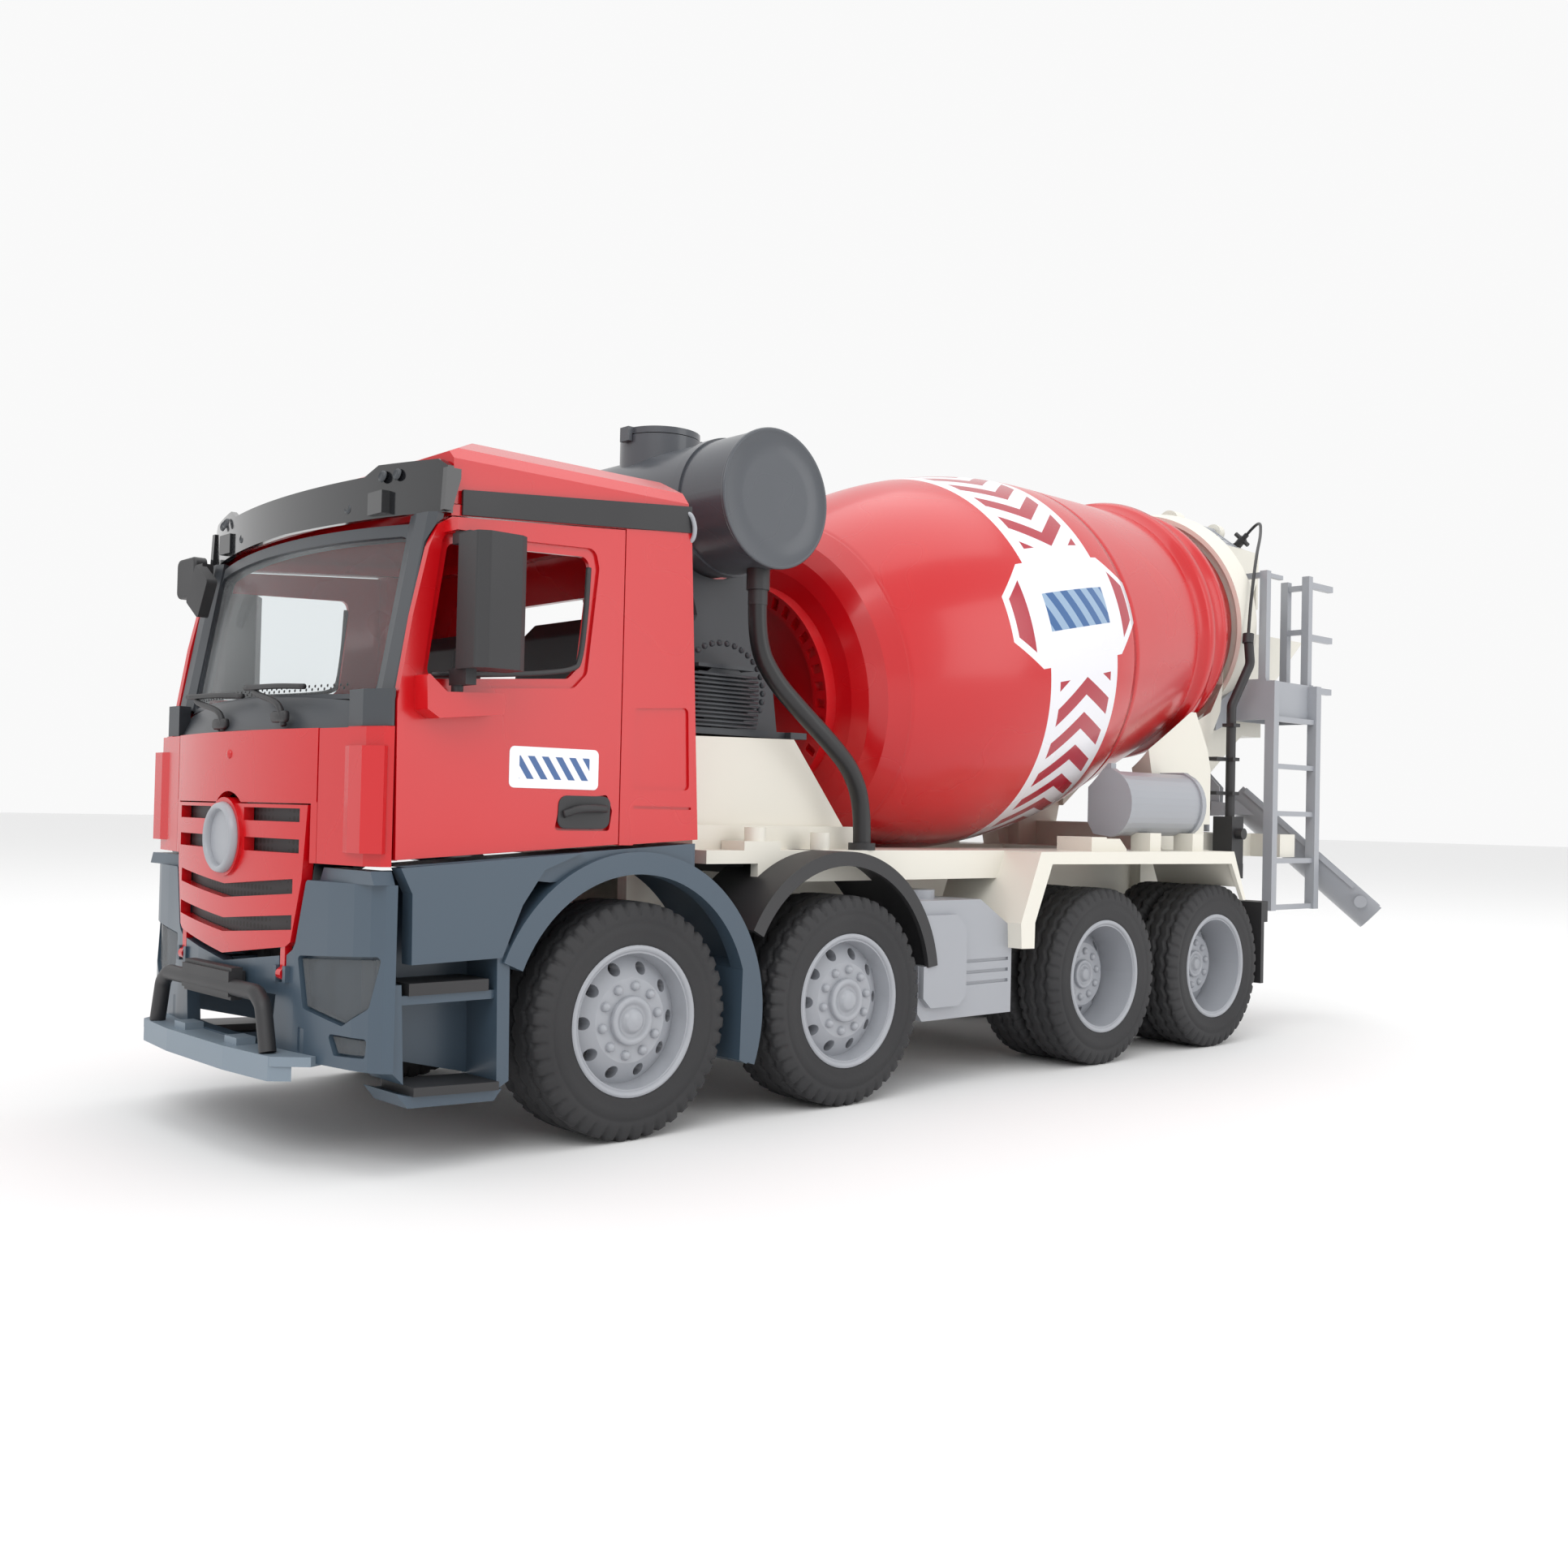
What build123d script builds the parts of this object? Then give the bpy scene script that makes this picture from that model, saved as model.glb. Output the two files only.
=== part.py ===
"""Toy cement mixer: a four-axle tipping-cab truck with a turning drum, water tank,
loading hopper and a chute that swings.  Millimetres, +Z up, the truck's front faces -Y and its
left side is +X.  Lengths along the truck are measured from the first axle (y = 0) while the
pieces are drawn; the export moves them so that the origin is the middle of the footprint.
"""
from math import atan2, cos, degrees, hypot, pi, radians, sin, sqrt, tan
import os

from build123d import *

# ---- driving dimensions -------------------------------------------------------------------
TYRE_R = 35.0                       # outside radius of every tyre
AXLE_Y = (0.0, 89.3, 233.3, 314.6)  # the four axles
HALF_W = 77.3                       # half width over the tyres and wings
BEAD_R = 21.5                       # where tyre meets rim
FRONT_TYRE_W = 25.0
TWIN_TYRE_W = 18.3                  # each tyre of a rear twin
TWIN_GAP = 1.2
AXLE_R = 2.5
AXLE_PLAY = 0.05                    # radial running clearance of an axle in its bearing
AXLE_Z = TYRE_R

NOSE_Y = -90.7                      # foremost line of the cab, on the centre line
NOSE_R = 272.0                      # plan radius of the cab's face
CAB_X = 75.0                        # outer skin of the cab and doors
CAB_REAR_Y = 23.4
WALL = 2.4                          # skin of the moulded cab
DOOR_FRONT_Y = -78.0
DOOR_REAR_Y = -6.6
GAP = 0.4                           # line between a door and the cab
TILT_Y, TILT_Z = -88.6, 50.0        # the cab's tilting axis, in the bumper's two lugs
GLASS_Y, GLASS_Z = -84.3, 127.0     # foot of the windscreen on the centre line
GLASS_RAKE = 10.4                   # degrees that the windscreen leans back
VISOR_Y = -76.6                     # front of the sun visor on the centre line
REACH_X = 94.2                      # widest points: the left mirror and the kerb mirror

DRUM_TILT = 11.13                   # degrees that the drum's axis rises towards the back
DRUM_Z0 = 121.33                    # height of the drum's axis above the first axle
DRUM_MAX_R = 77.0
DRUM_WALL = 2.2
MOUTH_R = 45.0

DECK_Z = 84.5                       # top of the mixer's subframe
TANK_R = 22.8
TANK_Y, TANK_Z = 64.0, 200.6
TANK_HALF = 62.0
LADDER_X = 60.0
GRATE_AXIS = (4.0, 247.4)           # the loading flap's hinge bar: x and z
LADDER_Y = (386.0, 431.0)
CHUTE_PIVOT = (0.0, 421.0)
CHUTE_SWING = 63.0                  # where the chute stands at rest, degrees round to the left
FRONT_END_Y = -99.0
REAR_END_Y = 481.9                  # the funnel's lip
FOOTPRINT_MID_Y = (FRONT_END_Y + REAR_END_Y) / 2

PARTS = {}


def part(name, *solids):
    """Keep the solids of one named piece, as one shape."""
    flat = [s for group in solids for s in (group if isinstance(group, (list, tuple)) else [group])]
    bodies = [b for s in flat for b in s.solids()]
    PARTS[name] = bodies[0] if len(bodies) == 1 else Compound(children=bodies)


def box(x0, x1, y0, y1, z0, z1):
    return Pos((x0 + x1) / 2, (y0 + y1) / 2, (z0 + z1) / 2) * Box(x1 - x0, y1 - y0, z1 - z0)


def both(shape):
    """A piece and its mirror image on the other side of the truck."""
    return shape + mirror(shape, about=Plane.YZ)


def pair(shape):
    """A piece and its mirror image, kept as two solids."""
    return [shape, mirror(shape, about=Plane.YZ)]


def outline(plane, points, round_r=0.0):
    face = make_face(plane * Polyline(*points, close=True))
    return fillet(face.vertices(), round_r) if round_r else face


def side_prism(points, x0, x1, round_r=0.0):
    """An outline of (y, z) points, carried from x0 to x1."""
    return extrude(outline(Plane.YZ.offset(x0), points, round_r), x1 - x0, dir=(1, 0, 0))


def front_prism(points, y0, y1, round_r=0.0):
    """An outline of (x, z) points, carried from y0 back to y1."""
    return extrude(outline(Plane.XZ.offset(-y0), points, round_r), y1 - y0, dir=(0, 1, 0))


def plan_prism(points, z0, z1, round_r=0.0):
    """An outline of (x, y) points, carried from z0 up to z1."""
    return extrude(outline(Plane.XY.offset(z0), points, round_r), z1 - z0, dir=(0, 0, 1))


def rod(a, b, r):
    """A round bar of radius r from point a to point b."""
    direction = Vector(*b) - Vector(*a)
    return extrude(Plane(origin=a, z_dir=direction) * Circle(r), direction.length)


def tube_x(x0, x1, y, z, r_out, r_in):
    ring = Plane(origin=(x0, y, z), x_dir=(0, 1, 0), z_dir=(1, 0, 0)) * (Circle(r_out) - Circle(r_in))
    return extrude(ring, x1 - x0)


def nose_y(x, ahead=0.0):
    """Where the cab's curved face lies at width x, moved forward by ahead."""
    return NOSE_Y + NOSE_R - sqrt((NOSE_R + ahead) ** 2 - x * x)


def face_slab(front_y, half_w, depth, z0, z1):
    """An upright wall, curved in plan like the cab's face, its middle at front_y."""
    wall = Circle(NOSE_R) - Circle(NOSE_R - depth)
    strip = Pos(0, front_y) * Rectangle(2 * half_w, 60 + 2 * depth)
    return extrude(Plane.XY.offset(z0) * (Pos(0, front_y + NOSE_R) * wall & strip), z1 - z0)


def curved_slab(half_w, ahead, depth, z0, z1):
    """The same wall standing ahead of the line of the cab's nose."""
    return face_slab(NOSE_Y - ahead, half_w, depth, z0, z1)


def raked_slab(front_y, foot_z, rake, half_w, depth, height):
    """The same wall leaning back by rake degrees about its foot."""
    upright = face_slab(0, half_w, depth, 0, height)
    return Pos(0, front_y, foot_z) * (Rot(-rake, 0, 0) * upright)


def cab_base_z(y):
    """The cab's lower edge climbs gently towards the back."""
    return 82.2 + 0.06 * (y + 77)


def cab_top_z(y):
    """The lower edge of the roof strip climbs in the same way."""
    return 174.0 + 0.08 * (y + 68.0)


def drum_point(s, r=0.0):
    """A point in the plane x = 0, s along the drum's axis and r above it."""
    a = radians(DRUM_TILT)
    return (0, s * cos(a) - r * sin(a), DRUM_Z0 + s * sin(a) + r * cos(a))


# ---- wheels -------------------------------------------------------------------------------
def tyre(x_in, x_out):
    """One tyre turned about X: flat tread, rounded shoulders, bulging side walls."""
    shoulder = 3.5
    profile = Plane.XY * Polyline(
        (x_in + 1.5, BEAD_R), (x_in, TYRE_R - 9), (x_in, TYRE_R - shoulder),
        (x_in + shoulder / 2, TYRE_R), (x_out - shoulder / 2, TYRE_R),
        (x_out, TYRE_R - shoulder), (x_out, TYRE_R - 9), (x_out - 1.5, BEAD_R), close=True)
    return revolve(make_face(profile), Axis.X)


def rim(x_in, x_out, disc_x, hub_x, holes, hole_r, hole_at):
    """One rim turned about X: a barrel, a lip, a disc with a ring of holes, and a hub."""
    lip = 1.6
    profile = Plane.XY * Polyline(
        (x_in, BEAD_R - lip), (x_in, BEAD_R), (x_out, BEAD_R), (x_out, BEAD_R - lip),
        (disc_x, BEAD_R - 2.6), (hub_x, 12.5), (hub_x, AXLE_R), (hub_x - 6, AXLE_R),
        (hub_x - 6, 11.5), (disc_x - 3, BEAD_R - 3.4), (x_in + 2, BEAD_R - 2.2), close=True)
    body = revolve(make_face(profile), Axis.X)
    for i in range(holes):
        a = 2 * pi * i / holes
        cut = rod((hub_x - 14, hole_at * cos(a), hole_at * sin(a)),
                  (x_out + 3, hole_at * cos(a), hole_at * sin(a)), hole_r)
        body -= cut
    return body


def wheels():
    twin_in = HALF_W - 2 * TWIN_TYRE_W - TWIN_GAP
    twin_mid = HALF_W - TWIN_TYRE_W
    for number, y in enumerate(AXLE_Y, start=1):
        place = Pos(0, y, AXLE_Z)
        if number <= 2:
            tyres = pair(tyre(HALF_W - FRONT_TYRE_W, HALF_W))
            rims = pair(rim(HALF_W - FRONT_TYRE_W + 2, HALF_W - 1.2, HALF_W - 7, HALF_W - 3.2,
                            10, 1.9, 15.7))
            axle_end = HALF_W - 5
        else:
            tyres = pair(tyre(twin_mid, HALF_W)) + pair(tyre(twin_in, twin_in + TWIN_TYRE_W))
            rims = pair(rim(twin_in + 2, HALF_W - 1.2, HALF_W - 16, HALF_W - 11.5, 8, 2.0, 15.2))
            axle_end = HALF_W - 13
        rod_ = rod((-axle_end, 0, 0), (axle_end, 0, 0), AXLE_R)
        part(f"tyres_{number}", [place * t for t in tyres])
        part(f"wheelset_{number}", [place * r for r in rims], place * rod_)


# ---- chassis ------------------------------------------------------------------------------
RAIL_X = (15.0, 20.0)
RAIL_Z = (47.0, 62.0)


def chassis():
    """Two rails and their cross-members, with a bearing block on each rail for every axle."""
    frame = both(box(*RAIL_X, -72, 356, *RAIL_Z))
    for y in (-66, -40, 30, 44, 134, 160, 190, 272, 350):
        frame += box(-RAIL_X[0] - 1, RAIL_X[0] + 1, y - 4, y + 4, RAIL_Z[0] + 2, RAIL_Z[1] - 1)
    for y in AXLE_Y:
        hanger = side_prism([(y - 14, RAIL_Z[0] + 2), (y - 7, AXLE_Z - 6), (y + 7, AXLE_Z - 6),
                             (y + 14, RAIL_Z[0] + 2)], 14, 24)
        frame += both(hanger)
        frame += box(-24, 24, y - 14, y + 14, RAIL_Z[0], RAIL_Z[0] + 3)
        frame -= rod((-30, y, AXLE_Z), (30, y, AXLE_Z), AXLE_R + AXLE_PLAY)
    for y, half in ((-30, 48), (140, 44), (167, 44)):
        frame += box(-half, half, y - 3, y + 3, RAIL_Z[1] - 8, RAIL_Z[1] - 2)
    frame += box(-50, 50, -70, -64, RAIL_Z[0] + 2, RAIL_Z[1])
    frame += both(box(22, 29, -71, -64, 44.5, 52))
    part("chassis_frame", frame)


def rear_bar():
    """The under-run bar across the rails' ends, with the two mud flaps in front of it."""
    bar = box(-72, 72, 356, 366, 52, 61.5)
    flaps = both(box(42, 76, 353.5, 356, 25, 61.5))
    part("rear_bar", bar + flaps)


# ---- front end ----------------------------------------------------------------------------
BUMPER_Z = (27.5, 79.5)


BUMPER_PLAN = ((0, -91.0), (20, -90.3), (40, -88.3), (55, -86.3), (66, -84.5), (72, -82.8), (75.6, -80.6),
               (HALF_W, -78.2))


def bumper_wall(inset, depth, z0, z1):
    """The bumper's face in plan, set back by inset and depth thick, from side to side."""
    front = [(x, y + inset) for x, y in BUMPER_PLAN]
    back = [(x - (depth if x > 70 else 0), y + inset + (0 if x > 75 else depth)) for x, y in BUMPER_PLAN]
    half = plan_prism(front + back[::-1], z0, z1)
    return both(half)


def bumper_body():
    """The moulded bumper: a curved front returned along both sides, with its recesses."""
    z0, z1 = BUMPER_Z
    body = bumper_wall(0, 4.0, z0, 76)
    body += both(front_prism([(46, 76), (48, z1), (74, z1), (76, 76)], -84.4, -78.4))
    tongue = front_prism([(-45.6, 76.4), (-44.4, 75.4), (-40.2, 58.6), (-38.9, 56.8), (-36.2, 55.2), (0, 50.8),
                          (36.2, 55.2), (38.9, 56.8), (40.2, 58.6), (44.4, 75.4), (45.6, 76.4), (45.6, 80),
                          (-45.6, 80)], -96, -60)
    lamp = both(front_prism([(41.5, 55.5), (44.5, 41.5), (62, 38.5), (72, 44), (75, 57.5)], -96, -78.9, 1.2))
    mouth = front_prism([(-31, 44), (-29, 30), (29, 30), (31, 44)], -96, -80)
    fog = both(front_prism([(56, 36), (59, 30.5), (71, 31), (71.6, 36)], -96, -78.9, 1.0))
    vent = both(front_prism([(42.5, 36.5), (42.5, 29.5), (51, 29.5), (51, 35)], -96, -87.6, 0.6))
    recess = (lamp + fog) & bumper_wall(0, 2.6, 26, 78)
    body = body - tongue - recess - mouth - vent
    body -= both(box(32.4, 36.0, -96, -80, TILT_Z - 2.4, 60))
    pin = both(rod((31.6, TILT_Y, TILT_Z), (37.4, TILT_Y, TILT_Z), 0.8))
    keep = both(box(30.6, 32.4, -90.0, -86, TILT_Z - 2.2, TILT_Z + 2.2) +
                box(36.0, 37.8, -89.8, -85.6, TILT_Z - 2.2, TILT_Z + 2.2))
    ties = both(box(22, 29, -88, -71, 44.5, 49.5))
    return body + ties + keep + pin


def lenses():
    """The clear headlamp and fog-lamp covers, let into the bumper's recesses."""
    lamp = both(front_prism([(42.3, 54.7), (45.2, 42.2), (62, 39.3), (71.2, 44.2), (74.0, 56.6)], -96, -78.9))
    fog = both(front_prism([(57, 35.4), (59.6, 31.2), (70.4, 31.6), (70.8, 35.4)], -96, -78.9))
    return (lamp + fog) & bumper_wall(1.0, 1.6, 26, 78)


def front_end():
    part("front_bumper", bumper_body())
    part("lamp_lenses", lenses())
    plate = plan_prism([(-52, -88.5), (-45, -96.5), (-20, -98.8), (20, -98.8), (45, -96.5), (52, -88.5),
                        (50, -84), (-50, -84)], 26.8, 29.4)
    lip = plan_prism([(-48, -92), (-44, -96.8), (-20, -99), (20, -99), (44, -96.8), (48, -92),
                      (46, -92), (43, -94.8), (-43, -94.8), (-46, -92)], 22.8, 29.4)
    pads = both(box(14, 22, -96, -90.5, 29.4, 31.4))
    bracket = box(-27, 27, -93, -88, 22.6, 26.8)
    step = plate + lip + pads + bracket
    part("bumper_step", step - bumper_wall(0, 9.0, 27.5, 33))
    bar_r = 2.3
    y = -94.6
    legs = [(-39, y, 29.6), (-35.4, y, 41.8), (-31, y, 44.8), (31, y, 44.8), (35.4, y, 41.8), (39, y, 29.6)]
    path = FilletPolyline(*legs, radius=4.0)
    hoop = sweep(Plane(origin=legs[0], z_dir=path % 0) * Circle(bar_r), path=path)
    holder = box(-16.5, 16.5, -95.6, -92.4, 41.2, 50.2) + box(-16.5, 16.5, -96.4, -95.6, 42.2, 49.2)
    holder += both(box(10, 15, -93, -90.9, 45, 49))
    part("bull_bar", hoop + holder)


# ---- cab ----------------------------------------------------------------------------------
WINDOW = [(-70.2, 130.2), (-64.6, 167.0), (-19.4, 169.0), (-18.2, 165.0), (-21.4, 137.2), (-25, 133.6)]


def cab_shell():
    """Floor, back wall with a window, rear side panels, door posts and the roof rails."""
    front_y = -78.6
    floor = side_prism([(front_y, cab_base_z(front_y)), (CAB_REAR_Y, cab_base_z(CAB_REAR_Y)),
                        (CAB_REAR_Y, cab_base_z(CAB_REAR_Y) + 3), (front_y, cab_base_z(front_y) + 3)],
                       -CAB_X + 3.2, CAB_X - 3.2)
    back = side_prism([(CAB_REAR_Y - WALL, cab_base_z(CAB_REAR_Y)), (CAB_REAR_Y, cab_base_z(CAB_REAR_Y)),
                       (CAB_REAR_Y - 5, cab_top_z(CAB_REAR_Y)), (CAB_REAR_Y - 5 - WALL, cab_top_z(CAB_REAR_Y))],
                      -CAB_X, CAB_X)
    back -= box(-52, 52, CAB_REAR_Y - 12, CAB_REAR_Y + 2, 128, 166)
    y0, y1 = DOOR_REAR_Y + GAP, CAB_REAR_Y
    panel = side_prism([(y0, cab_base_z(y0)), (y1, cab_base_z(y1)), (y1 - 5, cab_top_z(y1)),
                        (y0, cab_top_z(y0))], CAB_X - WALL, CAB_X)
    recess = side_prism([(-2.6, 103), (19.6, 103), (18.6, 128), (-2.6, 126.6)], CAB_X - 0.7, CAB_X + 1, 1.6)
    groove = box(CAB_X - 0.6, CAB_X + 1, y0, y1, 97.2, 98.0)
    post = side_prism([(y0, cab_base_z(y0)), (y0 + 5, cab_base_z(y0)), (y0 + 5, cab_top_z(y0)),
                       (y0, cab_top_z(y0))], CAB_X - 7, CAB_X)
    rail = side_prism([(-64, cab_top_z(-64)), (18.4, cab_top_z(18.4)), (18.4, cab_top_z(18.4) + 3),
                       (-64, cab_top_z(-64) + 3)], CAB_X - 9, CAB_X - 0.4)
    front_post = side_prism([(-78.4, cab_base_z(-78)), (-75.6, cab_base_z(-78)), (-74.4, 122), (-63, 175),
                             (-66, 175), (-77.2, 122)], CAB_X - 8, CAB_X - 3.4)
    sides = both(panel - recess - groove + post + rail + front_post)
    head = side_prism([(-66, 174.6), (-60, 174.8), (-60, 178), (-66, 178)], -CAB_X + 4, CAB_X - 4)
    rear_head = side_prism([(10, cab_top_z(10)), (18.4, cab_top_z(18.4)), (18.4, cab_top_z(18.4) + 3),
                            (10, cab_top_z(10) + 3)], -CAB_X + 2, CAB_X - 2)
    firewall = box(-67, 67, -78.6, -76.6, cab_base_z(-78), 114)
    return floor + back + sides + head + rear_head + firewall


def cab_roof():
    """The raised roof shell, its crown rounded across and falling towards the windscreen."""
    def solid(skin):
        side = side_prism([(-80, 170), (18.2 - skin, 170), (17.4 - skin, 202.0 - skin), (0, 206.4 - skin),
                           (-27, 205.6 - skin), (-50, 198.4 - skin), (-66, 191.0 - skin), (-80, 183.5 - skin)],
                          -CAB_X + 1, CAB_X - 1)
        w = CAB_X - 1.0 - skin
        crown = front_prism([(-w, 170), (w, 170), (w, 190), (w - 3, 193.6), (w - 14, 198.6), (w - 34, 203),
                             (0, 207), (34 - w, 203), (14 - w, 198.6), (3 - w, 193.6), (-w, 190)], -90, 30)
        return side & crown & face_slab(-73.6 + skin, CAB_X, 160, 160, 212)
    lower_cut = side_prism([(-90, 160), (30, 160), (30, cab_top_z(30) + 3.3), (-90, cab_top_z(-90) + 3.3)], -80, 80)
    return solid(0) - solid(WALL) - lower_cut


def roof_strip():
    """The matt strip that wraps both sides between the doors and the roof."""
    z = cab_top_z
    band = [(-61, z(-61) + 0.2), (18.0, z(18) + 0.2), (18.0, z(18) + 8.2), (-61, z(-61) + 7.0)]
    return pair(side_prism(band, CAB_X - 0.9, CAB_X + 0.4) - box(60, CAB_X - 0.4, -70, 30, 160, z(30) + 3.2)
                - side_prism([(-62, 160), (19, 160), (19, z(19) + 3.1), (-62, z(-62) + 3.1)], 60, CAB_X - 0.3))


def door():
    """The left door: one skin with an open window, a raised belt and the mirror's feet."""
    y0, y1 = DOOR_FRONT_Y, DOOR_REAR_Y
    skin = [(y0, cab_base_z(y0) + 0.3), (y1, cab_base_z(y1) + 0.3), (y1, cab_top_z(y1) - GAP),
            (-64.0, cab_top_z(-64) - GAP), (-68.0, 171.4), (-70.6, 165.0), (-74.8, 146.7), (y0 - 0.6, 124)]
    leaf = side_prism(skin, CAB_X - WALL, CAB_X)
    window = side_prism(WINDOW, CAB_X - 5, CAB_X + 3, 2.6)
    inner_lip = side_prism([(-72.0, 127.6), (-66.4, 169.4), (-17.0, 171.6), (-15.6, 166), (-19, 135.4),
                            (-23.4, 131.0)], CAB_X - 0.9, CAB_X + 1, 3.0)
    pocket = side_prism([(-29, 90.6), (-10, 90.6), (-9, 96.5), (-11, 101), (-27, 99)], CAB_X - 1.4, CAB_X + 1, 1.0)
    foot = side_prism([(-74.0, 131.6), (-73.6, 121.8), (-70, 119.6), (-50.6, 121.6), (-49.6, 127.4),
                       (-68, 126.6)], CAB_X - 0.4, CAB_X + 6.8, 0.6)
    upper_foot = box(CAB_X - 0.4, CAB_X + 6.8, -66.2, -61.0, 169.4, 172.6)
    leaf = leaf - inner_lip + foot + upper_foot - window - pocket
    return leaf - rod((MIRROR_X, MIRROR_Y, 112), (MIRROR_X, MIRROR_Y, 180), 1.65)


MIRROR_X, MIRROR_Y = 79.2, -63.6
MIRROR_FOLD = 36.0                  # how far the mirrors fold back before they meet the doors


def mirror_unit():
    """The left main mirror: a tall housing on two stub arms, turning about an upright pin."""
    housing = plan_prism([(82.4, -66.6), (92.4, -66.6), (REACH_X, -63.6), (REACH_X, -54.0), (92.6, -51.6),
                          (84.0, -51.6), (82.0, -61)], 132.6, 168.0, 1.0)
    pin_low = rod((MIRROR_X, MIRROR_Y, 121), (MIRROR_X, MIRROR_Y, 130.4), 1.6)
    pin_high = rod((MIRROR_X, MIRROR_Y, 167.0), (MIRROR_X, MIRROR_Y, 172.2), 1.6)
    arm_low = box(MIRROR_X - 1.6, 86, MIRROR_Y - 1.6, MIRROR_Y + 1.6, 128.6, 133)
    arm_high = box(MIRROR_X - 1.6, 86, MIRROR_Y - 1.6, MIRROR_Y + 1.6, 166, 168.9)
    return housing + pin_low + pin_high + arm_low + arm_high


def folded(unit):
    """The right mirror is the left one mirrored, and stands folded back beside its door."""
    right = mirror(unit, about=Plane.YZ)
    hinge = Axis((-MIRROR_X, MIRROR_Y, 0), (0, 0, 1))
    return right.rotate(hinge, -MIRROR_FOLD)


def windscreen_parts():
    """The dark pillars, cowl and header round the opening, and the curved clear screen in it."""
    height = 49.0
    screen_wall = raked_slab(GLASS_Y, GLASS_Z - 1.0, GLASS_RAKE, 62.5, 4.0, height)
    cowl = raked_slab(-89.1, 117.3, 27.0, 66.0, 3.4, 10.8)
    pillar = plan_prism([(61.5, -77.8), (66, -78.6), (71.5, -78.2), (74.6, -76.9), (74.6, -75.2), (61.5, -73.6)],
                        0, height + 1)
    pillar = Pos(0, 0, GLASS_Z - 1.2) * (Pos(0, -78, 0) * (Rot(-GLASS_RAKE, 0, 0) * (Pos(0, 78, 0) * pillar)))
    corner = plan_prism([(58, -83.4), (66, -83.6), (74.6, -79.8), (74.6, -78.9), (60, -78.9)], 117.3, 127.0)
    foot = Pos(0, GLASS_Y, GLASS_Z) * Rot(-GLASS_RAKE, 0, 0)
    opening = foot * front_prism([(-60.4, 0.4), (60.4, 0.4), (61.6, 44.6), (-61.6, 44.6)], -25, 35, 3.0)
    pane = foot * front_prism([(-60.2, 0.6), (60.2, 0.6), (61.4, 44.4), (-61.4, 44.4)], -25, 35, 2.9)
    frame = screen_wall + cowl + both(pillar) + both(corner)
    door_room = [(-79.1, 80), (-79.1, 124), (-75.3, 146.7), (-71.1, 165.0), (-68.5, 171.4), (-64.6, 174.9),
                 (-50, 175), (-50, 80)]
    frame -= both(side_prism(door_room, CAB_X - WALL - 0.5, CAB_X + 4))
    glass = raked_slab(GLASS_Y + 1.2, GLASS_Z, GLASS_RAKE, 61.4, 1.2, 46.0) & pane
    return frame - opening, glass


def grille_and_hood():
    """The hood panel, and below it the toothed grille with the dark mesh behind."""
    hood = curved_slab(47.6, 0.4, 3.2, 96.6, 117.0) + both(
        curved_slab(48.0, 0.4, 3.2, 80.6, 97.0) & front_prism([(45.2, 80), (45.2, 97), (48.0, 97), (48.0, 80)],
                                                             -100, -70))
    hood -= rod((0, -110, 86.5), (0, -60, 86.5), 13.2)
    shield = front_prism([(-44.5, 96.2), (-42.6, 76), (-38.2, 58.8), (-35.8, 57.4), (0, 53.0),
                          (35.8, 57.4), (38.2, 58.8), (42.6, 76), (44.5, 96.2)], -100, -70)
    plate = curved_slab(46, 0.8, 3.0, 50, 96.2) & shield
    rows = ((91.5, 95.2, 11.6), (83.0, 86.8, 12.2), (72.0, 76.0, 0.0), (62.2, 66.2, 0.0))
    for low, high, gap in rows:
        half = 41.0 if low > 80 else 38.5
        drop = 0.0 if low > 80 else 3.0
        slot = front_prism([(gap, low - drop), (half, low), (half, high), (gap, high - drop)], -100, -70)
        plate -= both(slot)
    ring = rod((0, NOSE_Y - 1.6, 86.5), (0, NOSE_Y + 3, 86.5), 11.4)
    badge_hole = rod((0, NOSE_Y - 2.6, 86.5), (0, NOSE_Y + 3, 86.5), 9.2)
    lugs = both(rod((32.8, TILT_Y, TILT_Z), (35.6, TILT_Y, TILT_Z), 1.7) +
                box(32.8, 35.6, TILT_Y - 0.4, TILT_Y + 1.7, TILT_Z, 60.5))
    lugs -= rod((-40, TILT_Y, TILT_Z), (40, TILT_Y, TILT_Z), 0.85)
    lugs -= curved_slab(80, 20, 20.0, 58.0, 70)
    grille = (plate + ring - badge_hole) + lugs
    mesh = curved_slab(43.5, -2.5, 2.0, 57, 96)
    mesh = mesh & front_prism([(-43.0, 95.8), (-36.6, 62), (0, 57.5), (36.6, 62), (43.0, 95.8)], -100, -70)
    mesh = mesh - badge_hole - lugs
    badge = badge_hole & curved_slab(20, 2.0, 3.4, 70, 100)
    return hood, grille, mesh, badge


def deflector():
    """The red corner panel between the hood and the door, with its upright flute."""
    skin = plan_prism([(48.2, nose_y(48.2, 0.4)), (62, nose_y(62, 1.4)), (69, -84.0), (73.6, -81.4),
                       (74.8, -79.0), (72.4, -79.0), (67, -81.2), (60, -83.0), (48.2, -84.4)], 80.6, 116.9)
    cap = plan_prism([(60, nose_y(60, 0.6)), (66, -84.0), (73.6, -81.2), (74.8, -79.0),
                      (72.4, -79.0), (64, -81.2), (60, -82.4)], 116.9, 117.2)
    flute = plan_prism([(60, nose_y(60, 1.2)), (64, nose_y(64, 3.0)), (70.5, -85.9), (75.6, -82.2),
                        (74.4, -80.6), (66, -83.6)], 84.0, 112.0)
    return skin + cap + flute


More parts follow.
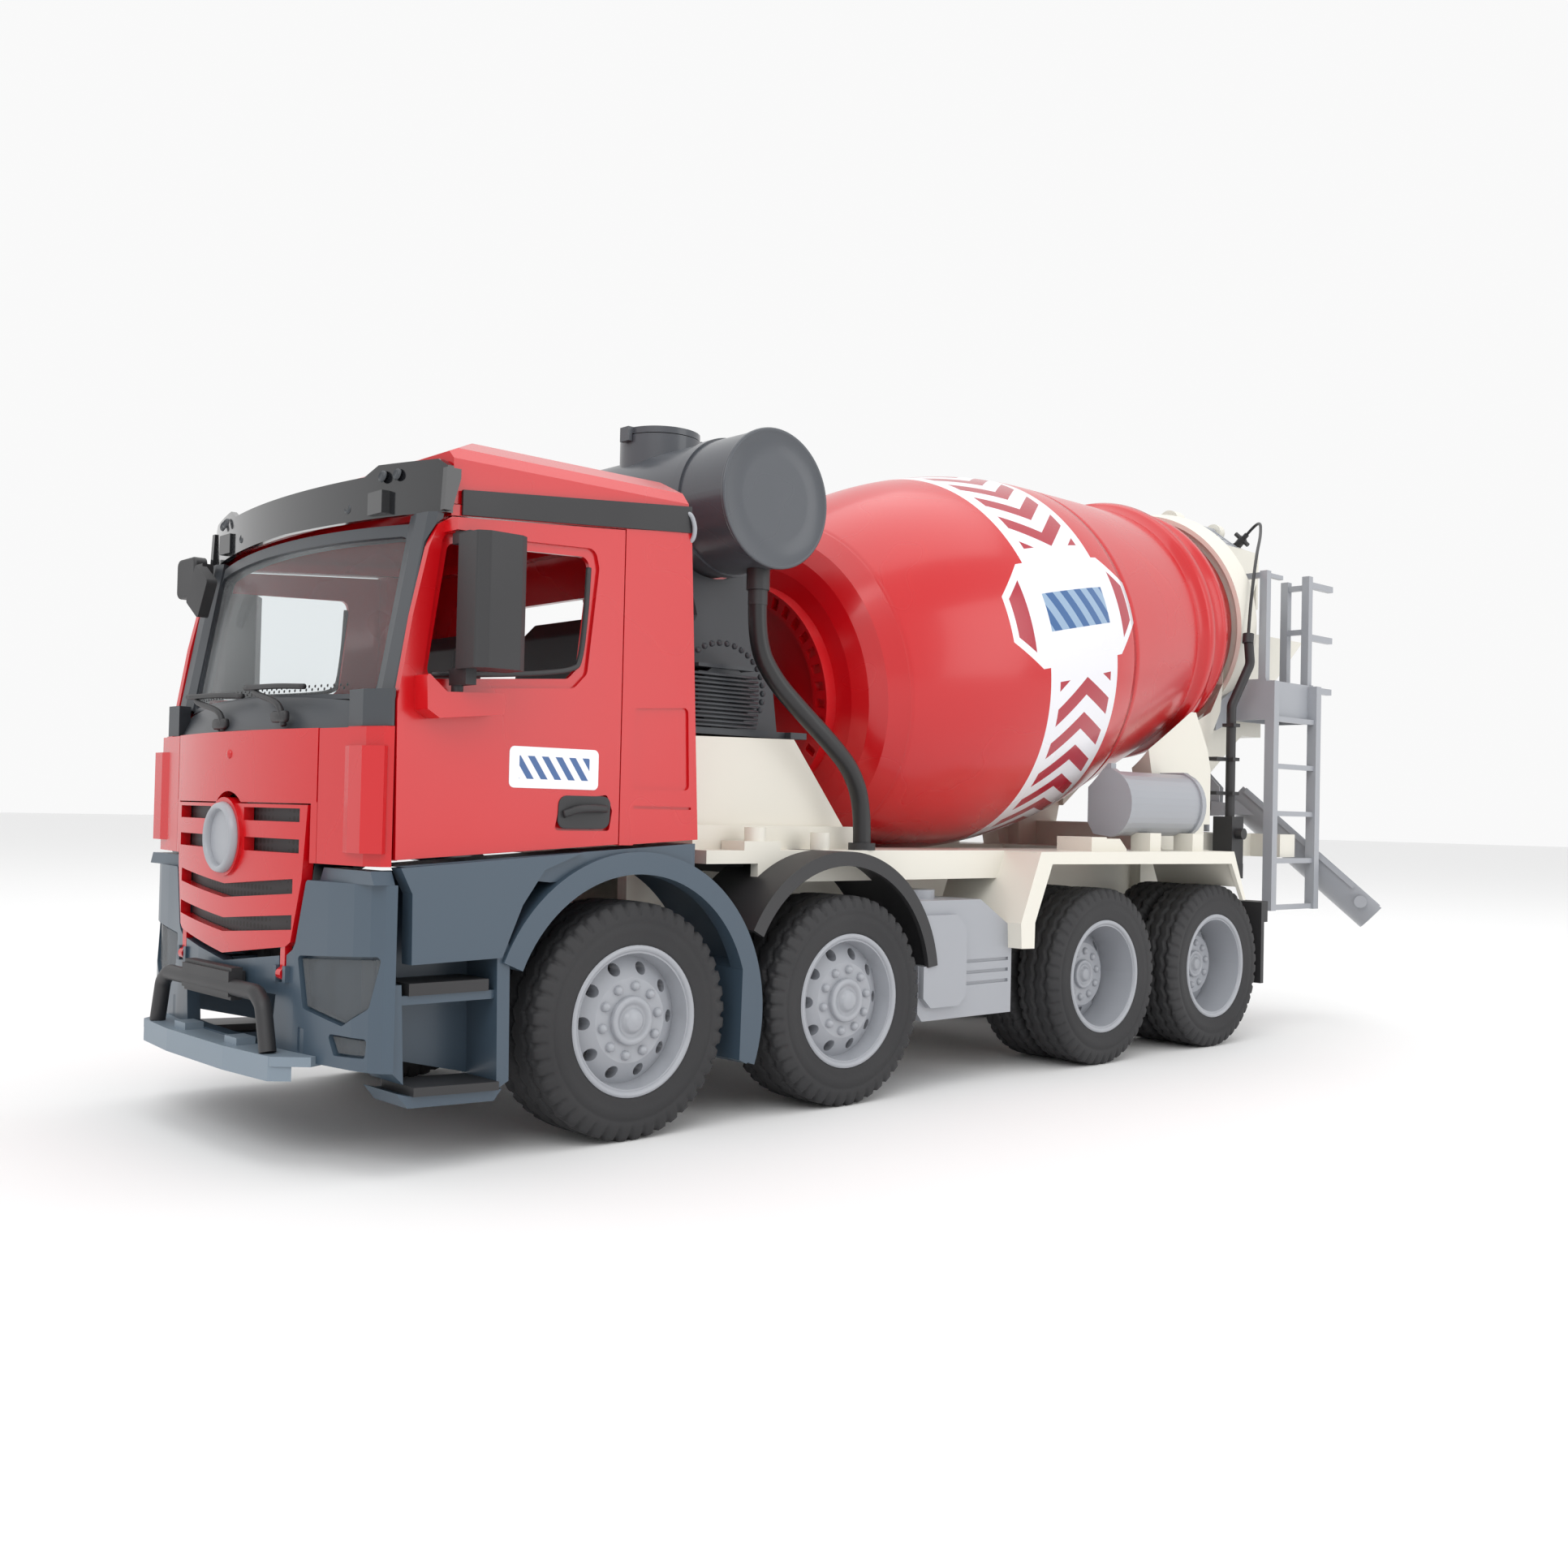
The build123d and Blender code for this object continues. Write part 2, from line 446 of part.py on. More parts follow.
def visor():
    """The glossy sun visor: a curved blade under the roof's edge, with raised ends."""
    blade = face_slab(VISOR_Y, 75.4, 1.8, 174.0, 191.0)
    trim = front_prism([(-75.4, 174.8), (-60, 175.4), (0, 176.2), (60, 175.4), (75.4, 174.8), (75.4, 187.4),
                        (72, 189.4), (49, 190.2), (43, 187.6), (0, 187.6), (-43, 187.6), (-49, 190.2),
                        (-72, 189.4), (-75.4, 187.4)], -110, -55)
    blade = blade & trim
    end = side_prism([(-67.4, 175.2), (-65.0, 175.2), (-61.8, 186.6), (-66.2, 186.6)], CAB_X + 0.45, CAB_X + 1.6)
    cheek = side_prism([(-67.4, 175.2), (-65.6, 175.2), (-65.6, 186.6), (-66.8, 186.6)], CAB_X - 0.4, CAB_X + 1.6)
    pads = both(box(46, 54, -73.6, -70.0, 176.4, 182.6))
    return (blade + both(end + cheek) + pads) - face_slab(-73.5, 80, 60, 182.8, 200)


def seats():
    """Two one-piece seats: squab, back and headrest."""
    side = [(-40, 92), (-18, 90.5), (-4, 92), (2, 128), (6, 152), (0, 156), (-6, 150), (-9, 128),
            (-14, 106), (-38, 104)]
    seat = side_prism(side, 20, 56, 2.0)
    return pair(seat)


def dashboard():
    """Dash moulding right across the cab, and the column that carries the steering wheel."""
    body = side_prism([(-74.0, 92), (-62, 92), (-59, 106), (-57, 118), (-64, 122.5), (-74.0, 119)], -60, 60, 1.2)
    column = rod((38, -60, 112), (38, -50, 120), 2.4)
    return body + column


def steering_wheel():
    centre = (38, -49.6, 120.4)
    plane = Plane(origin=centre, z_dir=(0, 10, 8))
    ring = plane * Torus(11.5, 1.3)
    hub = extrude(plane * Circle(3.4), 1.6)
    spokes = plane * (Pos(0, 0, 0.8) * Box(22, 2.6, 1.4) + Pos(0, -5.6, 0.8) * Box(2.6, 11, 1.4))
    return ring + hub + spokes


def front_mirror():
    """The front mirror on its bracket at the right end of the visor: a tilted lozenge."""
    bracket = rod((-66, -73.5, 172.5), (-53, -78.5, 168.5), 1.6)
    bracket += box(-68.5, -63.5, -75.2, -71.5, 171.0, 174.6)
    glass = Pos(-51, -80.2, 163.5) * (Rot(0, 32, 0) * Box(11.5, 3.4, 13.5))
    return bracket + fillet(glass.edges().filter_by(Axis.Y), 1.2)


def kerb_mirror():
    """The kerb mirror, on a short arm from the top front corner of the right door."""
    housing = box(-REACH_X, -78.8, -71.8, -67.4, 165.6, 179.2)
    housing = fillet(housing.edges().filter_by(Axis.Y), 2.6)
    housing = fillet(housing.faces().sort_by(Axis.Y)[0].edges(), 1.0)
    arm = box(-79.8, -CAB_X, -69.2, -67.6, 166.8, 170.6)
    return housing + arm


def cab():
    frame, glass = windscreen_parts()
    hood, grille, mesh, badge = grille_and_hood()
    defl = deflector()
    part("cab_shell", cab_shell())
    part("cab_roof", cab_roof())
    part("roof_strip", roof_strip())
    part("windscreen_frame", frame)
    part("windscreen", glass)
    part("front_panel", hood)
    part("grille", grille)
    part("grille_mesh", mesh)
    part("badge_disc", badge)
    part("corner_deflectors", pair(defl))
    part("sun_visor", visor())
    part("front_mirror", front_mirror())
    part("kerb_mirror", kerb_mirror())
    part("dashboard", dashboard())
    part("steering_wheel", steering_wheel())
    part("seats", seats())
    part("door_left", door())
    part("door_right", mirror(door(), about=Plane.YZ))
    part("mirror_left", mirror_unit())
    part("mirror_right", folded(mirror_unit()))


# ---- wings, steps and boxes ---------------------------------------------------------------
def arch(x0, x1, y, z, r_out, r_in, from_deg, to_deg):
    """Part of a flat ring in a side view, carried from x0 to x1; angles from +Y, upwards."""
    ring = Circle(r_out) - Circle(r_in)
    reach = r_out * 3
    corner = [(reach * cos(radians(a)), reach * sin(radians(a)))
              for a in (from_deg, (from_deg + to_deg) / 2, to_deg)]
    wedge = make_face(Polyline((0, 0), *corner, close=True))
    plane = Plane(origin=(x0, y, z), x_dir=(0, 1, 0), z_dir=(1, 0, 0))
    return extrude(plane * (ring & wedge), x1 - x0)


def front_wings():
    """Slate mouldings below the cab: skirt, first wheel arch, sill and the step housing."""
    z_axle = AXLE_Z
    arch_out = arch(71.5, HALF_W, 0, z_axle, 49.6, 43.0, -20, 157)
    arch_top = arch(44, HALF_W, 0, z_axle, 49.6, 47.2, 8, 150)
    flap = side_prism([(40.4, 20), (43.4, 18.6), (46.6, 22), (46.6, 52), (41, 48)], 46, HALF_W)
    skirt = side_prism([(-77.4, 80.4), (-73.9, 73.6), (-73.6, 55.2), (-46.2, 55.8), (-40, 70), (-33, 79.6),
                        (-20, 84.4)], 71.8, HALF_W - 0.2)
    sill = side_prism([(-77.4, 80.8), (-40, 83.2), (22.3, 87.0), (22.3, 79.4), (-30, 76)], 60, 75.2)
    back = side_prism([(-77, 79), (-46, 79), (-44, 22), (-77, 30)], 58, 60.5)
    back_edge = side_prism([(-47.5, 70), (-43.2, 58), (-42.6, 22), (-46.4, 20)], 58, HALF_W - 1.2)
    front_edge = side_prism([(-77.2, 50), (-75.4, 50), (-74.2, 24), (-77.2, 27)], 58, HALF_W - 2)
    shelf = box(58, HALF_W - 2.6, -76, -46, 44.6, 47)
    low_shelf = side_prism([(-76.4, 22), (-73, 17.8), (-47, 17), (-44.6, 20), (-60, 20.4), (-73, 21)],
                           58, HALF_W - 1.4)
    ties = box(20, 60, -52, -44.6, 58.0, 61.8) + box(20, 48, 38, 44, 57.5, 61.5)
    wing = arch_out + arch_top + flap + skirt + sill + back + back_edge + front_edge
    wing = wing + shelf + low_shelf + ties
    return wing


def step_treads():
    upper = box(60.7, HALF_W - 1.6, -73.4, -49.4, 47, 50.2)
    lower = side_prism([(-72.4, 21.0), (-60, 20.5), (-46.6, 20.1), (-46.6, 22.4), (-72.4, 23.4)], 60.7, HALF_W + 0.4)
    return pair(upper) + pair(lower)


def second_wings():
    y, z = 87.2, 38.0
    body = arch(41.5, 76.4, y, z, 46.6, 44.8, 8, 152) + arch(74.6, 76.4, y, z, 46.6, 41.8, 8, 152)
    for stay_y in (y - 23, y + 20):
        body += box(20.5, 50, stay_y, stay_y + 4, 76.4, 80.2)
    return both(body)


def side_boxes():
    """Ribbed silver boxes between the second and third axles, one each side."""
    shell = side_prism([(121.6, 67), (121.6, 58), (126.6, 46), (126.6, 27.4), (129, 24.6), (178.4, 24.6),
                        (178.4, 56), (160, 67)], 44, 73.2)
    cover = side_prism([(127, 62), (127, 33), (131, 29.4), (146, 29.4), (150, 33), (150, 57), (144.6, 62)],
                       73.2, 75.6, 0.8)
    wing_room = rod((40, 87.2, 38), (80, 87.2, 38), 46.9) & box(40, 80, 100, 140, 44.2, 90)
    shell = shell + cover - wing_room
    for z in (36, 40, 44):
        shell -= box(72.4, 74, 152.5, 176.5, z, z + 1.2)
    cap = Pos(58, 142, 67) * Cylinder(6.5, 3.2, align=(Align.CENTER, Align.CENTER, Align.MIN))
    return pair(shell + cap)


# ---- mixer subframe -----------------------------------------------------------------------
def subframe():
    """The cream platform on the rails: deck, side beams, the front pedestal and the feet."""
    deck = box(-62, 62, 38, 332, 80.2, DECK_Z)
    deck -= box(-30, 30, 150, 300, 70, 90)
    beams = both(box(58.5, 62, 60, 186, 74, 82))
    webs = both(box(15.5, 20.5, 38, 332, RAIL_Z[1], 82))
    pedestal = side_prism([(42, DECK_Z), (42, 121.6), (90, 122.6), (121.6, DECK_Z)], -46, 46)
    pedestal -= side_prism([(44.6, 70), (44.6, 130), (88.2, 130), (88.2, 119), (117.4, DECK_Z - 8)], -43.4, 43.4)
    bosses = both(rod((58, 62, DECK_Z), (58, 62, DECK_Z + 7.5), 3.6) +
                  rod((58, 92, DECK_Z), (58, 92, DECK_Z + 6), 3.4))
    bosses += both(box(50.5, 62, 54, 70, DECK_Z, DECK_Z + 3))
    ledge = both(box(46, 50, 42, 118, DECK_Z, DECK_Z + 8))
    return deck + beams + webs + pedestal + bosses + ledge


def rear_wings():
    """Angular cream wings over the third and fourth axles."""
    outer = [(175.8, 58), (176.4, 48.6), (184, 48.4), (184.2, 58), (194.2, 79.8), (321.6, 79.2),
             (331.4, 63.2), (333.6, 63.2), (323.4, DECK_Z), (187.2, DECK_Z)]
    edge = HALF_W + 0.5
    frame = side_prism(outer, edge, edge + 1.8)
    skin_top = box(38, edge, 187, 324, 82.3, DECK_Z)
    skin_front = side_prism([(175.8, 58), (176.4, 48.6), (178.8, 48.6), (178.4, 57.6), (190.2, DECK_Z),
                             (187.2, DECK_Z)], 38, edge)
    skin_rear = side_prism([(323.4, DECK_Z), (320.6, DECK_Z), (328.2, 69.0), (330.4, 69.6)], 38, edge)
    wing = frame + skin_top + skin_front + skin_rear
    wing -= box(30, 62.0, 150, 334.2, 80.2, 90)
    feet = box(56, 73, 228, 238, DECK_Z, DECK_Z + 5.6) + box(63, 73, 236, 252, DECK_Z, DECK_Z + 5)
    feet -= side_prism([(246, DECK_Z + 6), (253, DECK_Z + 6), (253, DECK_Z)], 50, 80)
    for y in (272, 304):
        feet += box(64, 73.5, y - 4, y + 4, DECK_Z, DECK_Z + 7.5)
    return wing + feet


def rear_support():
    """The cream stand that carries the collar round the drum's neck."""
    side = [(311, DECK_Z), (299, 130), (315, 141), (322, 147), (337, 147), (340, 142), (347, 131), (350, 121),
            (350, 96), (345, 96), (345, DECK_Z - 4.3), (332, DECK_Z - 4.3), (332, DECK_Z)]
    cheek = side_prism(side, 41, 51)
    flank = side_prism([(318, DECK_Z), (318, 138), (336, 150), (372, 186), (379, 186), (374, 150), (354, 118),
                        (345, DECK_Z)], 35, 41)
    cross = box(-42, 42, 332, 345, DECK_Z - 4.3, 96)
    feet = box(15.5, 26, 332, 356, RAIL_Z[1], DECK_Z)
    stand = both(cheek + flank + feet) + cross
    collar = revolve_about_drum([(380.4, 44.6), (380.4, 53.6), (391, 53.6), (391, 51.4), (382.6, 51.4),
                                 (382.6, 44.6)])
    collar += revolve_about_drum([(377, 51.4), (377, 53.6), (384, 53.6), (384, 51.4)])
    return stand + collar - drum_room()


def drum_room():
    """The space the turning drum needs, a little larger than the drum all round."""
    return revolve_about_drum([(90, 0), (90, 79), (262, 79), (330, 64.5), (364, 59.5), (374, 53.0), (376.9, 51.4),
                               (377, 0)])


def revolve_about_drum(points):
    """Turn an (s, r) profile about the drum's axis."""
    a = radians(DRUM_TILT)
    plane = Plane(origin=(0, 0, DRUM_Z0), x_dir=(0, cos(a), sin(a)), z_dir=(1, 0, 0))
    face = make_face(plane * Polyline(*points, close=True))
    axis = Axis((0, 0, DRUM_Z0), (0, cos(a), sin(a)))
    return revolve(face, axis)


def carrier():
    """The cream arm behind the stand that holds the chute's pivot and the ladder."""
    x, y = CHUTE_PIVOT
    beam = box(30, 42, 345, 424, 81, 92)
    cross = box(x - 4, 42, y - 8, y + 2, 81, 88)
    pad = rod((x, y, 81), (x, y, 92), 8)
    pin = rod((x, y, 92), (x, y, 103), 3.0)
    ladder_lug = box(42, LADDER_X - 2.4, 402, 416, 81, 92)
    return beam + cross + pad + pin + ladder_lug


# ---- water system -------------------------------------------------------------------------
def tank_half(sign):
    """Half of the tank's shell; sign +1 gives the upper half, -1 the lower."""
    solid = tube_x(-TANK_HALF, TANK_HALF, TANK_Y, TANK_Z, TANK_R, TANK_R - 1.8)
    for end in (-1, 1):
        x0 = end * TANK_HALF
        x1 = end * (TANK_HALF - 2.0)
        solid += rod((min(x0, x1), TANK_Y, TANK_Z), (max(x0, x1), TANK_Y, TANK_Z), TANK_R)
    for x0 in (-40, 36):
        solid += tube_x(x0, x0 + 4, TANK_Y, TANK_Z, TANK_R + 0.7, TANK_R - 1)
    z0, z1 = (TANK_Z, TANK_Z + 30) if sign > 0 else (TANK_Z - 30, TANK_Z)
    return solid & box(-70, 70, TANK_Y - 40, TANK_Y + 40, z0, z1)


DOME_R = 14.5
DOME_TOP = 229.4


def water_tank():
    upper = tank_half(1)
    dome = rod((0, TANK_Y, TANK_Z + 12), (0, TANK_Y, DOME_TOP), DOME_R)
    bore = rod((0, TANK_Y, TANK_Z - 5), (0, TANK_Y, DOME_TOP + 2), DOME_R - 2.0)
    inside = tube_x(-TANK_HALF + 2, TANK_HALF - 2, TANK_Y, TANK_Z, TANK_R - 1.8, 0.001)
    upper = upper + (dome - inside) - bore
    hinge_y = TANK_Y + DOME_R + 1.6
    knuckle = box(2.5, 5, hinge_y - 3.0, hinge_y + 1.4, DOME_TOP - 5, DOME_TOP)
    knuckle += box(2.5, 5, hinge_y - 1.3, hinge_y + 1.4, DOME_TOP - 1, DOME_TOP + 2.2)
    upper += both(knuckle)
    upper -= rod((-6, hinge_y, DOME_TOP + 0.6), (6, hinge_y, DOME_TOP + 0.6), 0.95)
    part("water_tank_upper", upper)
    lower = tank_half(-1)
    part("water_tank_lower", lower)
    lid = rod((0, TANK_Y, DOME_TOP + 0.35), (0, TANK_Y, DOME_TOP + 2.6), DOME_R - 0.3)
    lid += rod((-4.9, hinge_y, DOME_TOP + 0.6), (4.9, hinge_y, DOME_TOP + 0.6), 0.9)
    lid += box(-2.0, 2.0, TANK_Y + DOME_R - 3, hinge_y + 0.6, DOME_TOP + 0.35, DOME_TOP + 2.6)
    catch = box(-2.4, 2.4, TANK_Y - DOME_R - 1.9, TANK_Y - DOME_R + 2, DOME_TOP - 2.4, DOME_TOP + 2.6)
    lid += catch - rod((0, TANK_Y, DOME_TOP - 4), (0, TANK_Y, DOME_TOP + 0.35), DOME_R + 0.35)
    part("tank_lid", lid)


def tank_bracket():
    """The dark stand between the pedestal and the tank, with the drum's front pivot pin."""
    side = [(50, 122.8), (50, 150), (57, 164), (50, 186), (56, 196), (78, 196), (84, 182), (90, 158),
            (95.4, 122.8)]
    cheek = side_prism(side, 28.5, 31.5)
    tub = tube_x(-80, 80, TANK_Y, TANK_Z, TANK_R + 30, TANK_R + 0.05)
    inside_tank = rod((-80, TANK_Y, TANK_Z), (80, TANK_Y, TANK_Z), TANK_R + 0.75)
    back = side_prism([(86, 122.8), (84, 160), (81, 174), (84, 176), (87, 160), (89, 122.8)], -31.5, 31.5)
    foot = box(-46, 46, 88.4, 96, 122.8, 125)
    foot += both(box(28.5, 43, 46, 96, 122.8, 125))
    cradle = box(-31.5, 31.5, 58, 70, 172, 178)
    stand = (both(cheek) + back + foot + cradle) - inside_tank
    a = radians(DRUM_TILT)
    nose = rod(drum_point(94), drum_point(104), 11)
    pin = rod(drum_point(90), drum_point(119), 5.0)
    carrier_plate = side_prism([(84, 124), (84, 156), (94, 156), (97, 140), (96, 124)], -14, 14)
    return stand + nose + pin + carrier_plate


def pump_motor():
    """Finned motor behind the cab with its beaded flange ring, both facing the side."""
    y, z = 62.0, 135.4
    ring = tube_x(26, 28.4, y, z, 20.0, 3.0) & box(20, 40, y - 30, y + 30, 123.0, 160)
    motor = box(-25, 26, y - 11, y + 11, 125.2, 152)
    barrel = rod((28.4, y, z), (41, y, z), 11.5) & box(20, 60, y - 30, y + 30, 125.2, 160)
    for i in range(8):
        zf = 126.4 + i * 2.7
        barrel += box(28.4, 42, y - 12.5, y + 12.5, zf, zf + 1.2)
    return ring + motor + barrel


SPIGOT = (57.6, 113.0)
OUTLET = (54.5, 64.0)


def hose_fittings():
    """The elbow under the tank and the spigot on the deck that the filling hose joins."""
    x, y = OUTLET
    outlet = rod((x, y, 171.0), (x, y, 181.6), 3.9) + rod((x, y, 166.0), (x, y, 171.0), 3.3)
    tank = rod((-80, TANK_Y, TANK_Z), (80, TANK_Y, TANK_Z), TANK_R + 0.02)
    outlet = outlet - tank
    sx, sy = SPIGOT
    spigot = rod((sx, sy, DECK_Z), (sx, sy, DECK_Z + 2.5), 4.8)
    return outlet + spigot


HOSE_D = 6.4
HOSE_ROUTE = [(54.5, 64.0, 166.0), (54.5, 64.0, 153.0), (56.2, 70.5, 141.5), (58.8, 81.0, 131.5),
              (60.6, 93.5, 121.3), (59.6, 105.5, 112.0), (57.6, 113.0, 99.5), (57.6, 113.0, 87.0)]

SPRAY_D = 1.5
SPRAY_ROUTE = [(56.4, 372.0, 186.0), (56.0, 373.8, 197.2), (54.8, 377.6, 208.0), (51.6, 385.0, 219.3),
               (46.8, 395.5, 229.8), (41.0, 407.6, 237.4), (33.9, 420.7, 243.9), (29.3, 428.3, 250.3),
               (24.2, 431.4, 249.8), (20.0, 431.4, 245.8)]


def fillet_radii(route):
    """Each arc's radius: 0.45 of the shorter run over the tangent of half the turn."""
    points = [Vector(*p) for p in route]
    radii = []
    for before, here, after in zip(points, points[1:], points[2:]):
        turn = (here - before).get_angle(after - here)
        shorter = min((here - before).length, (after - here).length)
        radii.append(0.45 * shorter / tan(radians(turn / 2)))
    return radii


def cord_tube(name, route, diameter):
    """A plain tube of straight runs joined by tangent arcs, and its radii printed."""
    radii = fillet_radii(route)
    path = FilletPolyline(*route, radius=radii)
    tube = sweep(Plane(origin=route[0], z_dir=path % 0) * Circle(diameter / 2), path=path)
    expected = pi * diameter ** 2 / 4 * path.length
    print(name, "length", round(path.length, 1), "radii", [round(r, 1) for r in radii],
          "volume over section times length", round(tube.volume / expected, 4))
    part(name, tube)


def spray_pipe():
    """The rigid black washing pipe clipped down the stand, its tap block at the bottom."""
    x, y = 51.6, 366.2
    route = [(56.4, 372, 184), (56.4, 374, 172), (x, y, 152), (x, y, 100)]
    path = FilletPolyline(*route, radius=6.0)
    pipe = sweep(Plane(origin=route[0], z_dir=path % 0) * Circle(2.2), path=path)
    along = (Vector(*SPRAY_ROUTE[1]) - Vector(*SPRAY_ROUTE[0])).normalized()
    top = Vector(*SPRAY_ROUTE[0])
    collar = Solid.make_cylinder(2.6, 4.4, Plane(origin=top - along * 4.4, z_dir=along))
    clips = sum_shapes([box(x - 3, x + 3, y - 2.8, y + 2.8, z, z + 1.6) for z in (110, 126, 142)])
    stand_offs = sum_shapes([box(x - 8, x, y - 12, y, z, z + 1.6) for z in (110, 126)])
    block = box(x - 6, x + 4, y - 4.5, y + 5.5, 78, 100)
    knob = rod((x + 4, y, 92), (x + 7.6, y, 92), 2.6)
    tail = box(x - 4, x + 3, y - 0.5, y + 7.5, 71, 78)
    return pipe + collar + clips + stand_offs + block + knob + tail


def sum_shapes(shapes):
    total = shapes[0]
    for s in shapes[1:]:
        total += s
    return total


def spray_nozzle():
    """The hand nozzle in its clip on the hopper's rear wall: barrel, neck and cross handle."""
    barrel = rod((11.2, 431.4, 237.4), (18.2, 431.4, 244.1), 2.1)
    neck = rod((18.2, 431.4, 244.1), (20.0, 431.4, 245.8), 1.3)
    handle = rod((13.6, 431.4, 246.8), (20.6, 431.4, 240.2), 1.1)
    clip = box(9.6, 14.6, 429.0, 430.6, 236.0, 241.6)
    return barrel + neck + handle + clip


def saddle_tanks():
    """Half-round silver tanks on the rear wings, flat on top with a flange at each end."""
    def section(grow):
        bulge = [(62 + (10.8 + grow) * cos(radians(a)), 104 + (13.4 + grow * 0.6) * sin(radians(a)))
                 for a in range(72, -85, -12)]
        return [(53 - grow, 117.4 + grow), (64, 117.4 + grow), *bulge, (55, 91.2), (53 - grow, 96)]
    body = front_prism(section(0.0), 256, 309)
    for y in (254, 307):
        body += front_prism(section(1.0), y, y + 3)
    hook = box(56, 63, 254.5, 258, 117, 120.6)
    return pair(body + hook - drum_room())


# ---- drum ---------------------------------------------------------------------------------
def barrel_r(s):
    """Radius of the drum's skin at s: it swells to the widest ring, then runs in as a cone."""
    wide = 214.0
    if s <= wide:
        u = (wide - s) / (wide - 133.7)
        return DRUM_MAX_R - (DRUM_MAX_R - 61.8) * u ** 2.1
    if s <= 262:
        return DRUM_MAX_R - 5.0 * ((s - wide) / 48.0) ** 2
    return 72.0 - (s - 262) * (72.0 - 55.0) / (350 - 262)


def drum():
    """Front cap with its ring of pockets, the barrel, and the rear neck with its flanges."""
    w = DRUM_WALL
    dome = [(118.0, 39.6), (119.6, 46.0), (122.4, 52.0), (126.8, 57.4), (133.6, 61.8)]
    inner = [(s + w, r - w * 0.55) for s, r in dome[:-1]] + [(133.6, 61.8 - w)]
    cap_profile = [(116.6, 5.1), (116.6, 32.5), (113.2, 32.5), (113.2, 39.6)] + dome + inner[::-1] \
        + [(120.4, 36.0), (120.4, 12.0), (127, 12.0), (127, 5.1)]
    cap = revolve_about_drum(cap_profile)
    pockets = 36
    a = radians(DRUM_TILT)
    base = Plane(origin=drum_point(0), x_dir=(1, 0, 0), z_dir=(0, cos(a), sin(a)))
    for i in range(pockets):
        spin = Rot(0, 0, 360 * i / pockets)
        cap -= base * (spin * (Pos(36.2, 0, 113.8) * Box(4.4, 3.2, 3.4)))
    part("drum_front", cap)
    stations = [133.6, 145, 158, 172, 186, 200, 214, 226, 238, 250, 262]
    skin = [(s, barrel_r(s)) for s in stations]
    back = [(s, barrel_r(s) - w) for s in reversed(stations)]
    barrel = revolve_about_drum(skin + back)
    part("drum_barrel", barrel)
    rear_skin = [(262, 72.0), (334, barrel_r(334)), (336, 60.6), (341, 61.4), (344, 56.4), (352, 54.8),
                 (356, 56.4), (360, 56.2), (362, 51.6), (376.4, 48.6)]
    rear_back = [(376.4, MOUTH_R), (362, 48.6), (350, 52.0), (334, barrel_r(334) - w), (262, 72.0 - w)]
    part("drum_rear", revolve_about_drum(rear_skin + rear_back))


# ---- rear gear ----------------------------------------------------------------------------
def hopper():
    """The cream loading hopper behind the drum's mouth, with the eye that holds the flap's bar."""
    x, z = GRATE_AXIS
    eye = rod((x, 383.5, z), (x, 390.6, z), 5.6) - rod((x, 380, z), (x, 400, z), 2.45)
    rear_eye = rod((x, 424.6, z), (x, 429, z), 4.6)
    stem = box(x - 3.6, x + 3.6, 383.5, 390.6, z - 12, z - 3.0)
    rear_stem = box(x - 3, x + 3, 424.6, 429, z - 16, z - 2)
    wall = side_prism([(386, 226), (386, 235.2), (429, 234.4), (429, 222), (420, 206), (404, 200), (394, 212)],
                      26.4, 28.2)
    far_wall = side_prism([(386, 226), (386, 252), (429, 246), (429, 222), (420, 206), (404, 200), (394, 212)],
                          -28.2, -26.4)
    rear = front_prism([(-28.2, 206), (28.2, 206), (28.2, 234), (x + 3, z - 4), (x - 3, z - 4), (-28.2, 246)],
                       427.2, 429)
    front = front_prism([(-28.2, 232), (28.2, 232), (28.2, 234), (x + 5, z - 9), (x - 5, z - 9), (-28.2, 250)],
                        386, 388)
    floor = side_prism([(404, 200), (404, 202), (420, 208), (429, 224), (429, 222), (420, 206)], -28.2, 28.2)
    arms = both(box(26.4, 28.2, 375, 396, 214, 231))
    body = wall + far_wall + rear + front + floor + arms + rear_stem + stem + eye + rear_eye
    body -= rod((x, 380, z), (x, 424.2, z), 2.45)
    return body - revolve_about_drum([(300, 0), (300, 53.8), (391.4, 53.8), (391.4, 45), (397, 45), (397, 0)])


def hopper_grate():
    """The silver slotted flap on the hopper's left side, hinged on a bar along the truck."""
    x, z = GRATE_AXIS
    plane = Plane(origin=(x, 407, z), x_dir=(0, 1, 0), z_dir=Vector(sin(radians(37)), 0, cos(radians(37))))
    plate = plane * (Pos(0, -13.0, 1.0) * Box(31, 22, 1.4))
    for row in range(4):
        for col in range(5):
            plate -= plane * (Pos(-11 + col * 5.5, -6.5 - row * 4.4, 1.0) * Box(3.6, 0.9, 4))
    ends = plane * (Pos(15.2, -12.5, 0.2) * Box(1.4, 24, 3.6)) + plane * (Pos(-15.2, -12.5, 0.2) * Box(1.4, 24, 3.6))
    foot = plane * (Pos(0, -24.2, -0.4) * Box(31, 1.6, 4.2))
    bar = rod((x, 386.0, z), (x, 424, z), 2.4)
    return plate + ends + foot + bar


